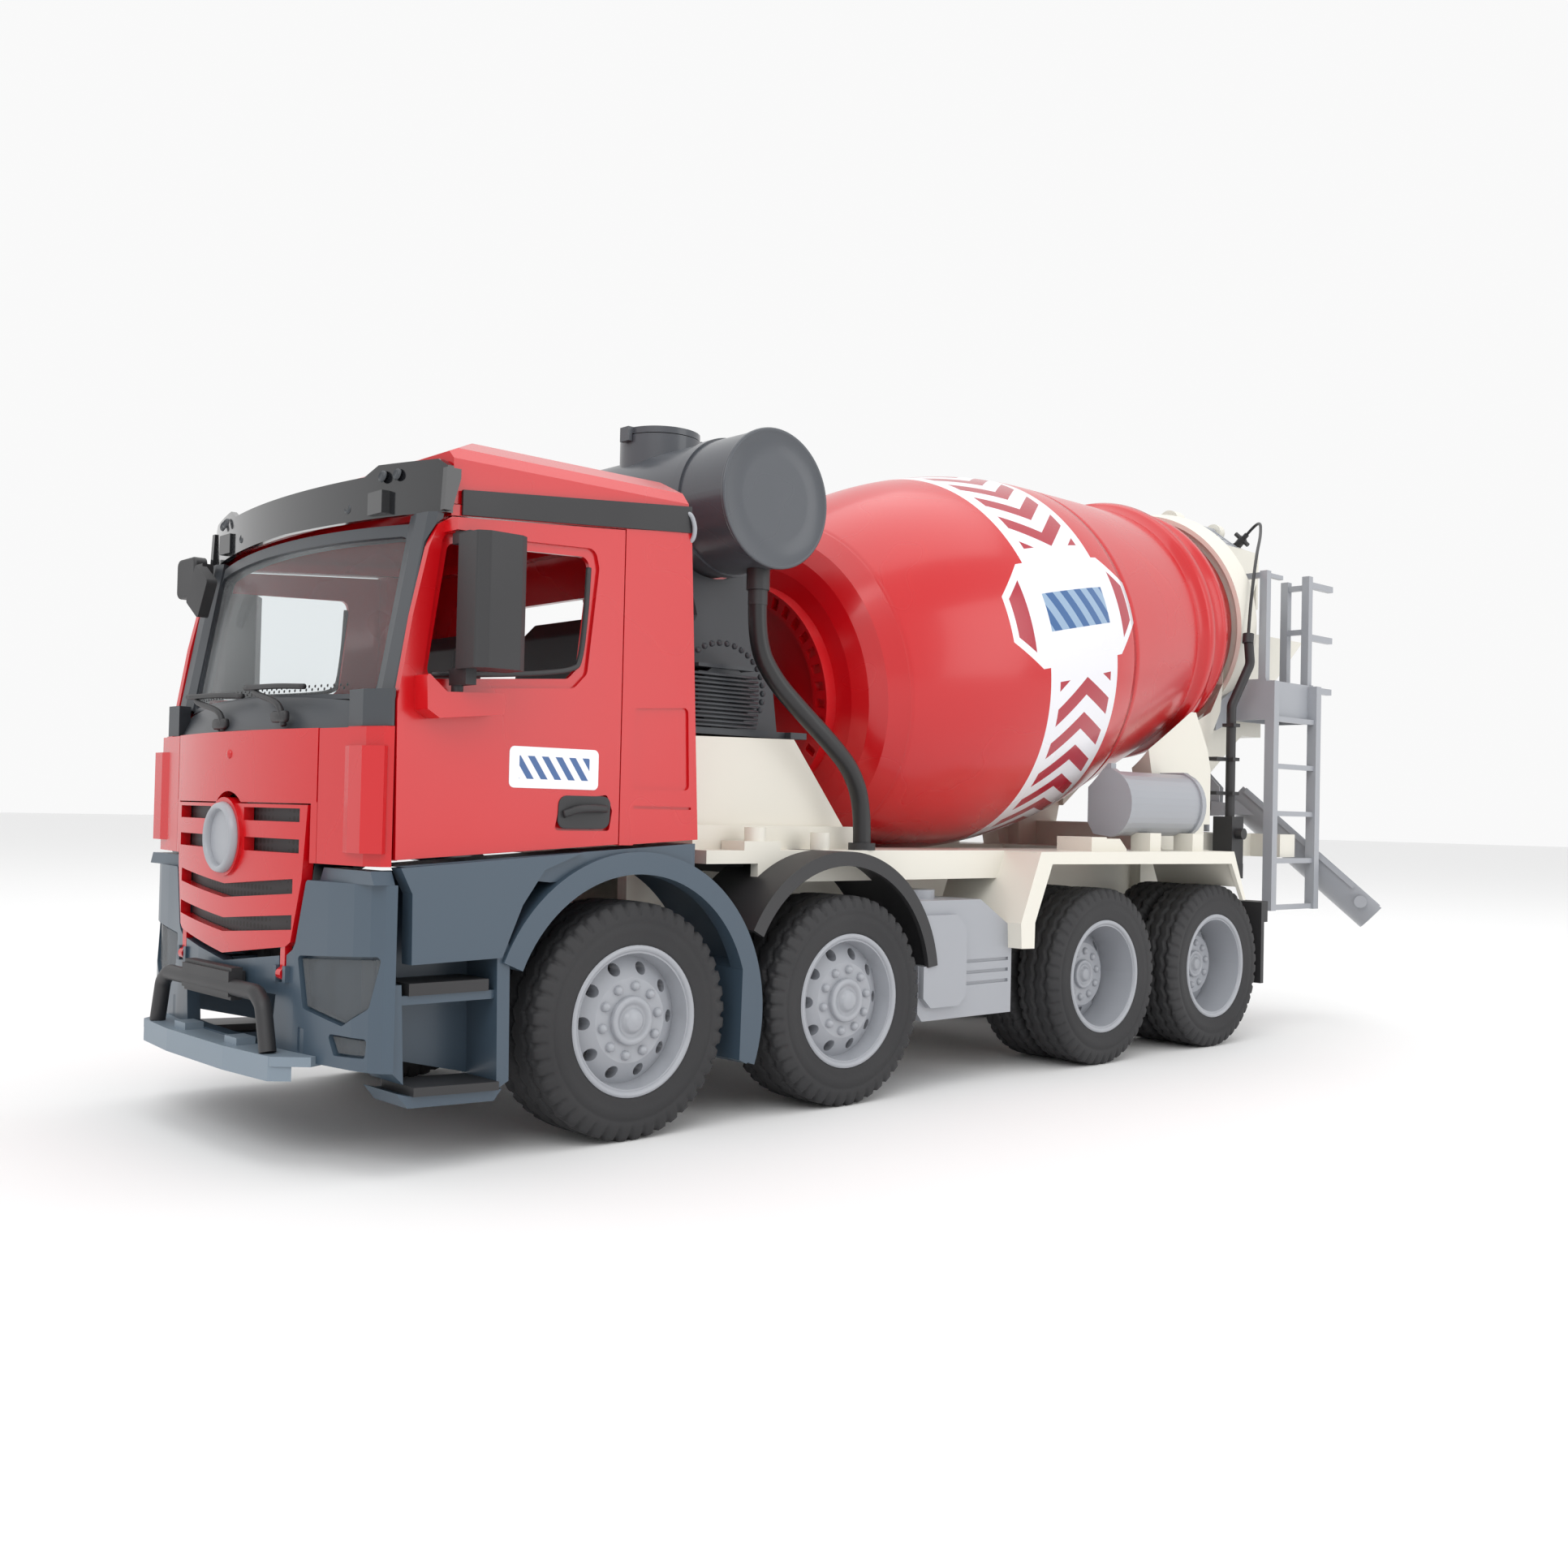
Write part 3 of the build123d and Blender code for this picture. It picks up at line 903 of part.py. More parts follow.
def discharge_funnel():
    """The cream funnel that leads the mix from the drum's mouth down to the chute."""
    def shell(grow):
        low = Plane.XY.offset(138 - grow) * (Pos(0, 423) * Rectangle(22 + 2 * grow, 24 + 2 * grow))
        high = Plane.XY.offset(205 + grow) * (Pos(0, 440) * Rectangle(60 + 2 * grow, 92 + 2 * grow))
        return loft([low, high])
    funnel = shell(0) - shell(-1.8) - Pos(0, 423, 138) * Box(18.4, 20.4, 8)
    slant = side_prism([(380, 176), (400, 186), (440, 203), (462, 206), (490, 197), (490, 230), (380, 230)], -50, 50)
    lean = front_prism([(-50, 212), (50, 188), (50, 240), (-50, 240)], 380, 500)
    funnel = funnel - slant - lean
    cheeks = both(side_prism([(350, 104), (350, 116), (374, 150), (380, 158), (420, 152), (420, 140), (402, 140)],
                             32.4, 36.0) + box(11, 36, 410, 420, 140, 150))
    holder = cheeks - shell(0)
    solid_funnel = funnel + holder
    return solid_funnel - revolve_about_drum([(300, 0), (300, 54.6), (392.4, 54.6), (392.4, 44), (420, 44), (420, 0)])


def chute():
    """The silver chute: a bowl that turns on its pin, and the long trough that folds on it."""
    px, py = CHUTE_PIVOT
    place = Pos(px, py, 0) * Rot(0, 0, -CHUTE_SWING)
    hub = Pos(0, 0, 92.3) * Cylinder(6.4, 9.4, align=(Align.CENTER, Align.CENTER, Align.MIN))
    bowl = loft([Plane.XY.offset(100.5) * (Pos(0, 3) * Rectangle(22, 28)),
                 Plane.XY.offset(131) * (Pos(0, 0) * Rectangle(40, 44))])
    bowl -= loft([Plane.XY.offset(102.5) * (Pos(0, 4.4) * Rectangle(18.0, 32)),
                  Plane.XY.offset(133) * (Pos(0, 1.4) * Rectangle(36.4, 48))])
    bowl -= side_prism([(12, 98), (12, 140), (60, 140), (60, 98)], -30, 30)
    bowl -= side_prism([(-10, 140), (14, 113), (30, 113), (30, 140)], -30, 30)
    hinge_y, hinge_z = 15.0, 104.0
    ears = both(side_prism([(8, 100.5), (8, 108), (hinge_y + 1, hinge_z + 3), (hinge_y + 3, hinge_z),
                            (hinge_y + 1, hinge_z - 3)], 12.6, 14.4) + box(10, 14.4, 6, 12, 100.5, 103.5))
    head = hub + bowl + ears
    head -= Cylinder(3.05, 12, align=(Align.CENTER, Align.CENTER, Align.MIN)).moved(Location((0, 0, 91.5)))
    head -= rod((-20, hinge_y, hinge_z), (20, hinge_y, hinge_z), 1.55)
    part("chute_head", place * head)
    slope, length = 41.7, 88.0
    half = Circle(14.2) & Pos(0, -7.1) * Rectangle(40, 14.2)
    hollow = Circle(12.6) & Pos(0, -6.0) * Rectangle(40, 14.2)
    trough = extrude(Plane.XZ * half, length, dir=(0, 1, 0)) - extrude(Plane.XZ * hollow, length, dir=(0, 1, 0))
    trough += both(box(14.0, 15.6, 2, length - 16, -2.2, -0.2))
    trough += both(rod((13.2, length - 9, -4.4), (15.8, length - 9, -4.4), 3.0))
    laid = Pos(0, 23.6, 115.6) * (Rot(-slope, 0, 0) * trough)
    yoke = both(side_prism([(hinge_y - 1.6, hinge_z - 2.2), (hinge_y + 2.4, hinge_z - 2.4), (30, 101), (31, 106),
                            (25, 110.4), (hinge_y - 1.6, hinge_z + 2.2)], 9.6, 12.2))
    pins = rod((-14.3, hinge_y, hinge_z), (14.3, hinge_y, hinge_z), 1.5)
    folding = laid + (yoke - Pos(0, 23.6, 115.6) * (Rot(-slope, 0, 0) * extrude(
        Plane.XZ * Circle(12.6), length, dir=(0, 1, 0)))) + pins
    part("chute_trough", place * folding)


def platform_and_ladder():
    """Silver service platform with its hand rails, and the ladder that hangs from it."""
    x = LADDER_X
    ya, yb = LADDER_Y
    edge = x - 2.0
    tray = box(38, edge, ya, yb, 158, 160.4)
    tray += box(38, edge, ya, ya + 2.2, 146.6, 166)
    tray += box(38, edge, yb - 2.2, yb, 146.6, 166)
    tray += box(38, 40.2, ya, yb, 146.6, 160.2)
    tray += box(edge - 2.2, edge, ya, yb, 146.6, 165.6)
    outer, inner, low, high = x - 4.6, 44.0, 156.0, 218.0
    front, rear = ya + 2.4, yb - 2.4
    def upright(bar_x, bar_y, top):
        return box(bar_x - 1.9, bar_x + 1.9, bar_y - 1.9, bar_y + 1.9, low, top)
    bars = [upright(40.3, front, high), upright(outer, front, high), upright(outer, rear, high + 2),
            upright(inner, rear, high)]
    bars += [box(34, outer, front - 1.3, front + 1.3, high - 3.2, high - 0.6),
             box(outer - 1.1, outer + 1.1, front, ya + 17, high - 2.8, high - 0.8)]
    bars += [box(inner, outer, rear - 1.3, rear + 1.3, z - 1.3, z + 1.3) for z in (192.5, 214.5)]
    bars += [box(outer - 1.4, outer + 1.4, rear, yb + 21, z - 1.5, z + 1.5) for z in (164, 190, 216)]
    tray = tray + sum_shapes(bars)
    strut = side_prism([(ya - 14, 141), (ya - 14, 153), (ya + 3, 163), (ya + 3, 147)], 36.0, 40)
    stiles = box(x - 2.4, x + 2.4, ya, ya + 4.6, 55.8, 165)
    stiles += box(x - 2.4, x + 2.4, yb - 4.6, yb, 55.8, 165)
    rungs = [box(x - 1.2, x + 1.2, ya + 2, yb - 2, z - 1.2, z + 1.2) for z in (57.2, 79.4, 102, 124.6, 147.2)]
    whole = tray + strut + stiles + sum_shapes(rungs)
    part("platform_and_ladder", tidy(whole - PARTS["rear_support"] - PARTS["discharge_funnel"]))


# pieces that are let in round their neighbours: the first is cut away where the others stand
LET_IN = {
    "front_bumper": ("lamp_lenses",),
    "cab_shell": ("cab_roof", "roof_strip", "windscreen_frame", "sun_visor"),
    "windscreen_frame": ("front_panel", "corner_deflectors"),
    "grille_mesh": ("grille",),
    "bull_bar": ("bumper_step",),
    "second_wings": ("mixer_subframe",),
    "side_boxes": ("mixer_subframe", "second_wings"),
    "rear_support": ("mixer_subframe", "spray_pipe"),
    "saddle_tanks": ("mixer_subframe",),
    "tank_bracket": ("pump_motor",),
    "hose_fittings": ("water_hose",),
    "spray_nozzle": ("spray_hose",),
    "discharge_funnel": ("rear_support", "hopper"),
}


def tidy(shape, least=60.0):
    """Keep the solids of a cut piece that are worth keeping, as one shape."""
    bodies = [b for b in shape.solids() if b.volume > least]
    return bodies[0] if len(bodies) == 1 else Compound(children=bodies)


def main():
    wheels()
    chassis()
    rear_bar()
    front_end()
    cab()
    part("front_wings", pair(front_wings()))
    part("step_treads", step_treads())
    part("second_wings", second_wings())
    part("side_boxes", side_boxes())
    part("mixer_subframe", subframe() + pair(rear_wings()))
    part("rear_support", rear_support() + carrier())
    water_tank()
    part("tank_bracket", tank_bracket())
    part("pump_motor", pump_motor())
    part("hose_fittings", hose_fittings())
    cord_tube("water_hose", HOSE_ROUTE, HOSE_D)
    part("spray_pipe", spray_pipe())
    cord_tube("spray_hose", SPRAY_ROUTE, SPRAY_D)
    part("spray_nozzle", spray_nozzle())
    part("saddle_tanks", saddle_tanks())
    drum()
    part("hopper", hopper())
    part("hopper_grate", hopper_grate())
    part("discharge_funnel", discharge_funnel())
    chute()
    for piece, neighbours in LET_IN.items():
        for neighbour in neighbours:
            PARTS[piece] = tidy(PARTS[piece] - PARTS[neighbour])
    platform_and_ladder()
    os.makedirs("parts", exist_ok=True)
    for name, shape in PARTS.items():
        moved = [Pos(0, -FOOTPRINT_MID_Y, 0) * body for body in shape.solids()]
        export_step(moved[0] if len(moved) == 1 else Compound(moved), f"parts/{name}.step")
    print(len(PARTS), "pieces")


main()
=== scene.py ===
"""Looks of the toy cement mixer: every shown surface, its material, and the light on it."""

from math import cos, pi, radians, sin

import bpy
import numpy as np
from mathutils import Matrix, Vector


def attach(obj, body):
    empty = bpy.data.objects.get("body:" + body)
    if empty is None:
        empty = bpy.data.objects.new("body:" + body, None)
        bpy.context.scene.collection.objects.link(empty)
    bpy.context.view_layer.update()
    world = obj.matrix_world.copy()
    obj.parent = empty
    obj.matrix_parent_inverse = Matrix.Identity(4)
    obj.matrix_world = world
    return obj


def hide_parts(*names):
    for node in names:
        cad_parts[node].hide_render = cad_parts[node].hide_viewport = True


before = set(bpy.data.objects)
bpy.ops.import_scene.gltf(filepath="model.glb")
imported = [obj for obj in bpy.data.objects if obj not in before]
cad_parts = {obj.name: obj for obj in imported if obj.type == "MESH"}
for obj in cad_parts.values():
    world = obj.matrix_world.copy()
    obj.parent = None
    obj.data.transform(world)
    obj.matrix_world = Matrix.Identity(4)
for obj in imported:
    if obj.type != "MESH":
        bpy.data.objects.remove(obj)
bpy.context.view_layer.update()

# ---- tyres --------------------------------------------------------------------------------
# Soft black PVC tyres, each moulded in one shot with its tread: zig-zag grooves round the
# crown, blocks cut into both shoulders, and two raised rings on the side wall.
AXLES_MM = (0.0, 89.3, 233.3, 314.6)
WHEEL_R_MM, BEAD_R_MM, OUTER_X_MM = 35.0, 21.5, 77.3


def row(points):
    """Millimetres measured from the first axle, turned into metres in the shared frame."""
    return (np.asarray(points, float) - (0.0, 191.45, 0.0)) * 0.001


def colour(code):
    """A #RRGGBB colour as the linear values that a shader takes."""
    parts = np.array([int(code[i:i + 2], 16) / 255 for i in (1, 3, 5)])
    return (*np.where(parts <= 0.04045, parts / 12.92, ((parts + 0.055) / 1.055) ** 2.4), 1.0)


def add(tree, kind, inputs=None, **settings):
    """Add one shader node with its settings; an input is a value or the socket that feeds it."""
    node = tree.nodes.new(kind)
    for key, value in settings.items():
        setattr(node, key, value)
    for key, value in (inputs or {}).items():
        if isinstance(value, bpy.types.NodeSocket):
            tree.links.new(value, node.inputs[key])
        else:
            node.inputs[key].default_value = value
    return node


def moulded(name, code, rough=0.42, grain_mm=0.5, relief=0.05, tone=0.05, coat=0.0):
    """Moulded plastic: one colour, a fine grain that breaks up the shine, faint uneven gloss."""
    mat = bpy.data.materials.new(name)
    mat.use_nodes = True
    tree = mat.node_tree
    tree.nodes.clear()
    place = add(tree, "ShaderNodeTexCoord").outputs["Object"]
    grain = add(tree, "ShaderNodeTexNoise", {"Vector": place, "Scale": 1000 / grain_mm / 2, "Detail": 3.0})
    cloud = add(tree, "ShaderNodeTexNoise", {"Vector": place, "Scale": 22.0, "Detail": 2.0})
    dark = tuple(c * (1 - tone) for c in colour(code)[:3]) + (1.0,)
    tint = add(tree, "ShaderNodeMix", {0: cloud.outputs["Fac"], 6: dark, 7: colour(code)}, data_type="RGBA")
    gloss = add(tree, "ShaderNodeMapRange", {0: cloud.outputs["Fac"], 1: 0.3, 2: 0.7, 3: rough * 0.88,
                                             4: min(1.0, rough * 1.12)})
    bump = add(tree, "ShaderNodeBump", {"Strength": relief, "Distance": grain_mm * 0.001 * 0.4,
                                        "Height": grain.outputs["Fac"]})
    skin = add(tree, "ShaderNodeBsdfPrincipled", {
        "Base Color": tint.outputs[2], "Roughness": gloss.outputs[0], "Normal": bump.outputs[0],
        "IOR": 1.53, "Coat Weight": coat, "Coat Roughness": 0.12})
    add(tree, "ShaderNodeOutputMaterial", {"Surface": skin.outputs[0]})
    return mat


def mesh_piece(name, points, faces, mat, body, smooth=True):
    """One finished piece from its points in metres and its faces, riding on a body."""
    mesh = bpy.data.meshes.new(name)
    mesh.from_pydata([tuple(p) for p in points], [], [tuple(f) for f in faces])
    mesh.validate()
    mesh.update()
    mesh.materials.append(mat)
    mesh.polygons.foreach_set("use_smooth", [smooth] * len(mesh.polygons))
    piece = bpy.data.objects.new(name, mesh)
    bpy.context.scene.collection.objects.link(piece)
    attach(piece, body)
    return piece


def grid_faces(rows, cols, start=0, wrap_rows=False, wrap_cols=False):
    """Quads over a rows by cols sheet of points, closed round either way."""
    i, j = np.meshgrid(np.arange(rows if wrap_rows else rows - 1),
                       np.arange(cols if wrap_cols else cols - 1), indexing="ij")
    i2, j2 = (i + 1) % rows, (j + 1) % cols
    quads = np.stack([i * cols + j, i * cols + j2, i2 * cols + j2, i2 * cols + j], -1)
    return quads.reshape(-1, 4) + start


def tyre_points(x_in, x_out, axle_mm):
    """A tyre as a turned section (across k) round the wheel (angle a).

    The crown is cut where the point is near a zig-zag line: |x - line(a)| under 0.55 mm.
    The shoulders are cut where the sine of 44 a is high, deeper towards the edge.
    """
    a = np.linspace(0, 2 * pi, 396, endpoint=False)[:, None]
    w = x_out - x_in
    half = w / 2
    side = [(-half + 2.2, BEAD_R_MM - 0.4), (-half + 1.0, BEAD_R_MM + 0.2), (-half + 0.5, 23.2), (-half + 0.55, 23.7),
            (-half + 0.25, 26.0), (-half, 28.3), (-half + 0.3, 28.7), (-half + 0.1, 29.4), (-half, 30.8),
            (-half + 0.35, 32.4), (-half + 0.8, 33.6)]
    crown_x = np.linspace(-half + 1.6, half - 1.6, 29)
    crown = [(x, WHEEL_R_MM - 0.35 * (abs(x) / half) ** 4) for x in crown_x]
    section = side + crown + [(-x, r) for x, r in side[::-1]]
    x = np.array([p[0] for p in section])[None, :] + 0 * a
    r = np.array([p[1] for p in section])[None, :] + 0 * a
    zig = 2 * np.abs((a * 33 / (2 * pi)) % 1 - 0.5) - 0.5
    cut = np.zeros_like(r)
    for line in (-0.27, 0.0, 0.27):
        gap = np.abs(x - (line * w + zig * w * 0.075))
        cut = np.maximum(cut, np.clip(1.5 - gap / 0.55, 0, 1) * (r > 34.2))
    notch = np.clip(np.sin(a * 44 + 0.7 * np.sign(x)) * 2.2 - 0.7, 0, 1)
    cut = np.maximum(cut, notch * np.clip((np.abs(x) - 0.36 * w) / (0.05 * w), 0, 1) * (r > 31.5))
    r = r - 1.25 * cut
    mid = (x_in + x_out) / 2
    points = np.stack([mid + x, axle_mm + r * np.sin(a), WHEEL_R_MM + r * np.cos(a)], -1)
    return points


tyre_mat = moulded("black PVC tyre", "#2A2A2C", rough=0.72, grain_mm=0.7, relief=0.22, tone=0.12)
for number, axle in enumerate(AXLES_MM, start=1):
    spans = [(52.3, 77.3)] if number <= 2 else [(59.0, 77.3), (39.5, 57.8)]
    points, faces, start = [], [], 0
    for near, far in spans:
        for sheet in (tyre_points(near, far, axle), tyre_points(-far, -near, axle)):
            rows, cols = sheet.shape[:2]
            points.append(sheet.reshape(-1, 3))
            faces.append(grid_faces(rows, cols, start, wrap_rows=True)[:, ::-1])
            start += rows * cols
    tyres = mesh_piece(f"tyres_{number}_tread", row(np.concatenate(points)), np.concatenate(faces), tyre_mat,
                       f"axle_{number}")
    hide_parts(f"tyres_{number}")

# ---- rims ---------------------------------------------------------------------------------
# Silver-grey ABS rims pressed on steel stubs: a deep dish with a ring of holes, ten domed
# nuts round the hub and a turned hub cap. Twin rims are dished far inwards.
silver = moulded("silver ABS", "#9FA2A8", rough=0.34, grain_mm=0.35, relief=0.05, tone=0.06, coat=0.15)


def lathe(name, profile, origin_mm, axis, mat, body, turns=72, extra=None):
    """A profile of (along, radius) pairs in mm turned about an axis: angle by profile grid."""
    axis = np.array(axis, float) / np.linalg.norm(axis)
    side = np.cross(axis, (0.0, 0.0, 1.0) if abs(axis[2]) < 0.9 else (1.0, 0.0, 0.0))
    side /= np.linalg.norm(side)
    other = np.cross(axis, side)
    a = np.linspace(0, 2 * pi, turns, endpoint=False)[:, None, None]
    along = np.array([p[0] for p in profile])[None, :, None]
    r = np.array([p[1] for p in profile])[None, :, None]
    points = np.array(origin_mm) + along * axis + r * (np.cos(a) * side + np.sin(a) * other)
    faces = grid_faces(turns, len(profile), wrap_rows=True)
    points = points.reshape(-1, 3)
    if extra is not None:
        return points, faces
    return mesh_piece(name, row(points), faces, mat, body)


def many(name, items, mat, body):
    """Several small turned or built shapes joined as one piece."""
    points, faces, start = [], [], 0
    for p, f in items:
        points.append(p)
        faces += [tuple(int(i) + start for i in face) for face in f]
        start += len(p)
    return mesh_piece(name, row(np.concatenate(points)), faces, mat, body)


NUT = [(0.0, 1.5), (0.9, 1.45), (1.5, 1.15), (1.9, 0.7), (2.05, 0.02)]
CAP = [(0.0, 7.2), (1.6, 7.2), (2.0, 6.8), (2.0, 5.4), (1.3, 5.0), (1.3, 3.6), (2.6, 3.2), (3.0, 2.4), (3.1, 0.02)]
for number, axle in enumerate(AXLES_MM, start=1):
    face_x, ring, cap_r = (74.1, 10.2, 1.0) if number <= 2 else (65.8, 9.2, 0.8)
    items = []
    for hand in (1, -1):
        for k in range(10):
            a = 2 * pi * k / 10 + 0.15
            centre = (hand * (face_x - 0.3), axle + ring * sin(a), WHEEL_R_MM + ring * cos(a))
            items.append(lathe("", [(s * (0.8 if number > 2 else 1), r) for s, r in NUT], centre, (hand, 0, 0),
                               None, None, 12, extra=True))
        hub = [(s * cap_r, r * cap_r) for s, r in CAP]
        items.append(lathe("", hub, (hand * (face_x - 0.2), axle, WHEEL_R_MM), (hand, 0, 0), None, None, 48,
                           extra=True))
        lip = [(0.0, 20.4), (0.9, 20.6), (1.3, 21.3), (1.2, 22.1), (0.3, 22.5)]
        items.append(lathe("", lip, (hand * 75.7, axle, WHEEL_R_MM), (hand, 0, 0), None, None, 72, extra=True))
    nuts = many(f"rim_nuts_{number}", items, silver, f"axle_{number}")


def dress(node, mat, bevel_mm=0.35):
    """Give a CAD piece its material and a fine moulded edge."""
    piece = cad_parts[node]
    piece.data.materials.clear()
    piece.data.materials.append(mat)
    if bevel_mm:
        edge = piece.modifiers.new("moulded edge", "BEVEL")
        edge.width = bevel_mm * 0.001
        edge.segments = 2
        edge.limit_method = "ANGLE"
        edge.angle_limit = radians(40)
        edge.harden_normals = False
    return piece


for number in range(1, 5):
    dress(f"wheelset_{number}", silver, 0.3)

# ---- chassis and mudguards ----------------------------------------------------------------
# Black ABS ladder frame with slate-grey mouldings below the cab, a black guard over the second
# axle and silver tool boxes, all clipped to the rails.
black = moulded("black ABS", "#2B2B2D", rough=0.5, grain_mm=0.5, relief=0.08, tone=0.1)
slate = moulded("slate ABS", "#3F4F5D", rough=0.36, grain_mm=0.4, relief=0.04, tone=0.05, coat=0.1)
pale_grey = moulded("light grey ABS", "#7C8A96", rough=0.45, grain_mm=0.4)
cream = moulded("cream ABS", "#E4E1D6", rough=0.36, grain_mm=0.4, relief=0.03, tone=0.03, coat=0.1)
for node, mat in (("chassis_frame", black), ("rear_bar", black), ("front_wings", slate), ("step_treads", black),
                  ("second_wings", black), ("side_boxes", silver), ("mixer_subframe", cream),
                  ("rear_support", cream), ("saddle_tanks", silver), ("front_bumper", slate),
                  ("bumper_step", pale_grey), ("bull_bar", black)):
    dress(node, mat)

# ---- cab ----------------------------------------------------------------------------------
# Glossy red ABS cab in one moulding with separate doors, roof and grille; a clear screen in a
# dark grey surround, a smoked glossy visor, and black trim inside.
red = moulded("red ABS", "#C40410", rough=0.27, grain_mm=0.4, relief=0.02, tone=0.04, coat=0.35)
charcoal = moulded("dark grey ABS", "#3B3F44", rough=0.4, grain_mm=0.4, relief=0.05, tone=0.05)
piano = moulded("glossy black ABS", "#1B1C1F", rough=0.12, grain_mm=0.5, relief=0.01, tone=0.02, coat=0.6)
for node, mat in (("cab_shell", red), ("cab_roof", red), ("roof_strip", black), ("front_panel", red),
                  ("grille", red), ("corner_deflectors", red), ("door_left", red), ("door_right", red),
                  ("windscreen_frame", charcoal), ("sun_visor", piano), ("front_mirror", black), ("kerb_mirror", black),
                  ("mirror_left", black), ("mirror_right", black), ("dashboard", black),
                  ("steering_wheel", black), ("seats", black)):
    dress(node, mat)


def clear_plastic(name, tint, rough=0.04, opacity=0.16):
    """Thin clear polystyrene: mostly see-through, with a sharp reflection over it."""
    mat = bpy.data.materials.new(name)
    mat.use_nodes = True
    tree = mat.node_tree
    tree.nodes.clear()
    place = add(tree, "ShaderNodeTexCoord").outputs["Object"]
    ripple = add(tree, "ShaderNodeTexNoise", {"Vector": place, "Scale": 30.0, "Detail": 1.0})
    bump = add(tree, "ShaderNodeBump", {"Strength": 0.02, "Distance": 0.001, "Height": ripple.outputs["Fac"]})
    through = add(tree, "ShaderNodeBsdfTransparent", {"Color": colour(tint)})
    body = add(tree, "ShaderNodeBsdfPrincipled", {"Base Color": colour(tint), "Roughness": rough,
                                                  "Normal": bump.outputs[0]})
    edge = add(tree, "ShaderNodeLayerWeight", {"Blend": 0.25})
    rise = add(tree, "ShaderNodeMath", {0: edge.outputs["Facing"], 1: 3.0}, operation="POWER")
    share = add(tree, "ShaderNodeMath", {0: rise.outputs[0], 1: 0.5, 2: opacity}, operation="MULTIPLY_ADD",
                use_clamp=True)
    both_ = add(tree, "ShaderNodeMixShader", {0: share.outputs[0], 1: through.outputs[0], 2: body.outputs[0]})
    add(tree, "ShaderNodeOutputMaterial", {"Surface": both_.outputs[0]})
    return mat


dress("windscreen", clear_plastic("clear polystyrene screen", "#F2F5F6", opacity=0.05), 0)
dress("lamp_lenses", clear_plastic("clear polystyrene lamp", "#C9CDD0", rough=0.08, opacity=0.12), 0)

DOT_PITCH_MM = 2.2
mesh_mat = moulded("black pierced ABS", "#1F2023", rough=0.5)
tree = mesh_mat.node_tree
skin = next(n for n in tree.nodes if n.type == "BSDF_PRINCIPLED")
place = add(tree, "ShaderNodeTexCoord").outputs["Object"]
# The holes are not cut: each dot is painted near-black, a painted shade for the dark seen through a hole, on lighter
# dark grey plastic.
cells = add(tree, "ShaderNodeTexVoronoi", {"Vector": place, "Scale": 1000 / DOT_PITCH_MM, "Randomness": 0.0},
            feature="F1")
painted_hole_shade = add(tree, "ShaderNodeMath", {0: cells.outputs["Distance"], 1: 0.36}, operation="LESS_THAN")
tint = add(tree, "ShaderNodeMix", {0: painted_hole_shade.outputs[0], 6: colour("#26272A"), 7: colour("#050505")},
           data_type="RGBA")
tree.links.new(tint.outputs[2], skin.inputs["Base Color"])
dress("grille_mesh", mesh_mat, 0)


def slab(name, outline, origin_mm, across, up, thick_mm, mat, body, edge_mm=0.3, extra=None):
    """A flat moulded plate from a 2-D outline, its front edge softened by a small chamfer."""
    across, up = (np.array(v, float) / np.linalg.norm(v) for v in (across, up))
    out = np.cross(across, up)
    pts = np.array(outline, float)
    area = 0.5 * np.sum(pts[:, 0] * np.roll(pts[:, 1], -1) - np.roll(pts[:, 0], -1) * pts[:, 1])
    pts = pts if area > 0 else pts[::-1]
    ahead, behind = np.roll(pts, -1, 0) - pts, pts - np.roll(pts, 1, 0)
    normal = lambda d: np.stack([d[:, 1], -d[:, 0]], -1) / np.linalg.norm(d, axis=1)[:, None]
    inward = -(normal(ahead) + normal(behind))
    inward /= np.maximum(np.linalg.norm(inward, axis=1), 1e-6)[:, None]
    rings = [(pts, 0.0), (pts, thick_mm - edge_mm), (pts + inward * edge_mm, thick_mm)]
    cloud = np.concatenate([np.array(origin_mm) + p[:, :1] * across + p[:, 1:] * up + d * out for p, d in rings])
    n = len(pts)
    faces = [tuple(f) for f in grid_faces(3, n, wrap_cols=True)[:, ::-1]]
    faces += [tuple(range(2 * n, 3 * n)), tuple(range(n))[::-1]]
    faces = [f if k >= 2 * n else tuple(f)[::-1] for k, f in enumerate(faces)]
    if extra is not None:
        return cloud, faces
    return mesh_piece(name, row(cloud), faces, mat, body, smooth=False)


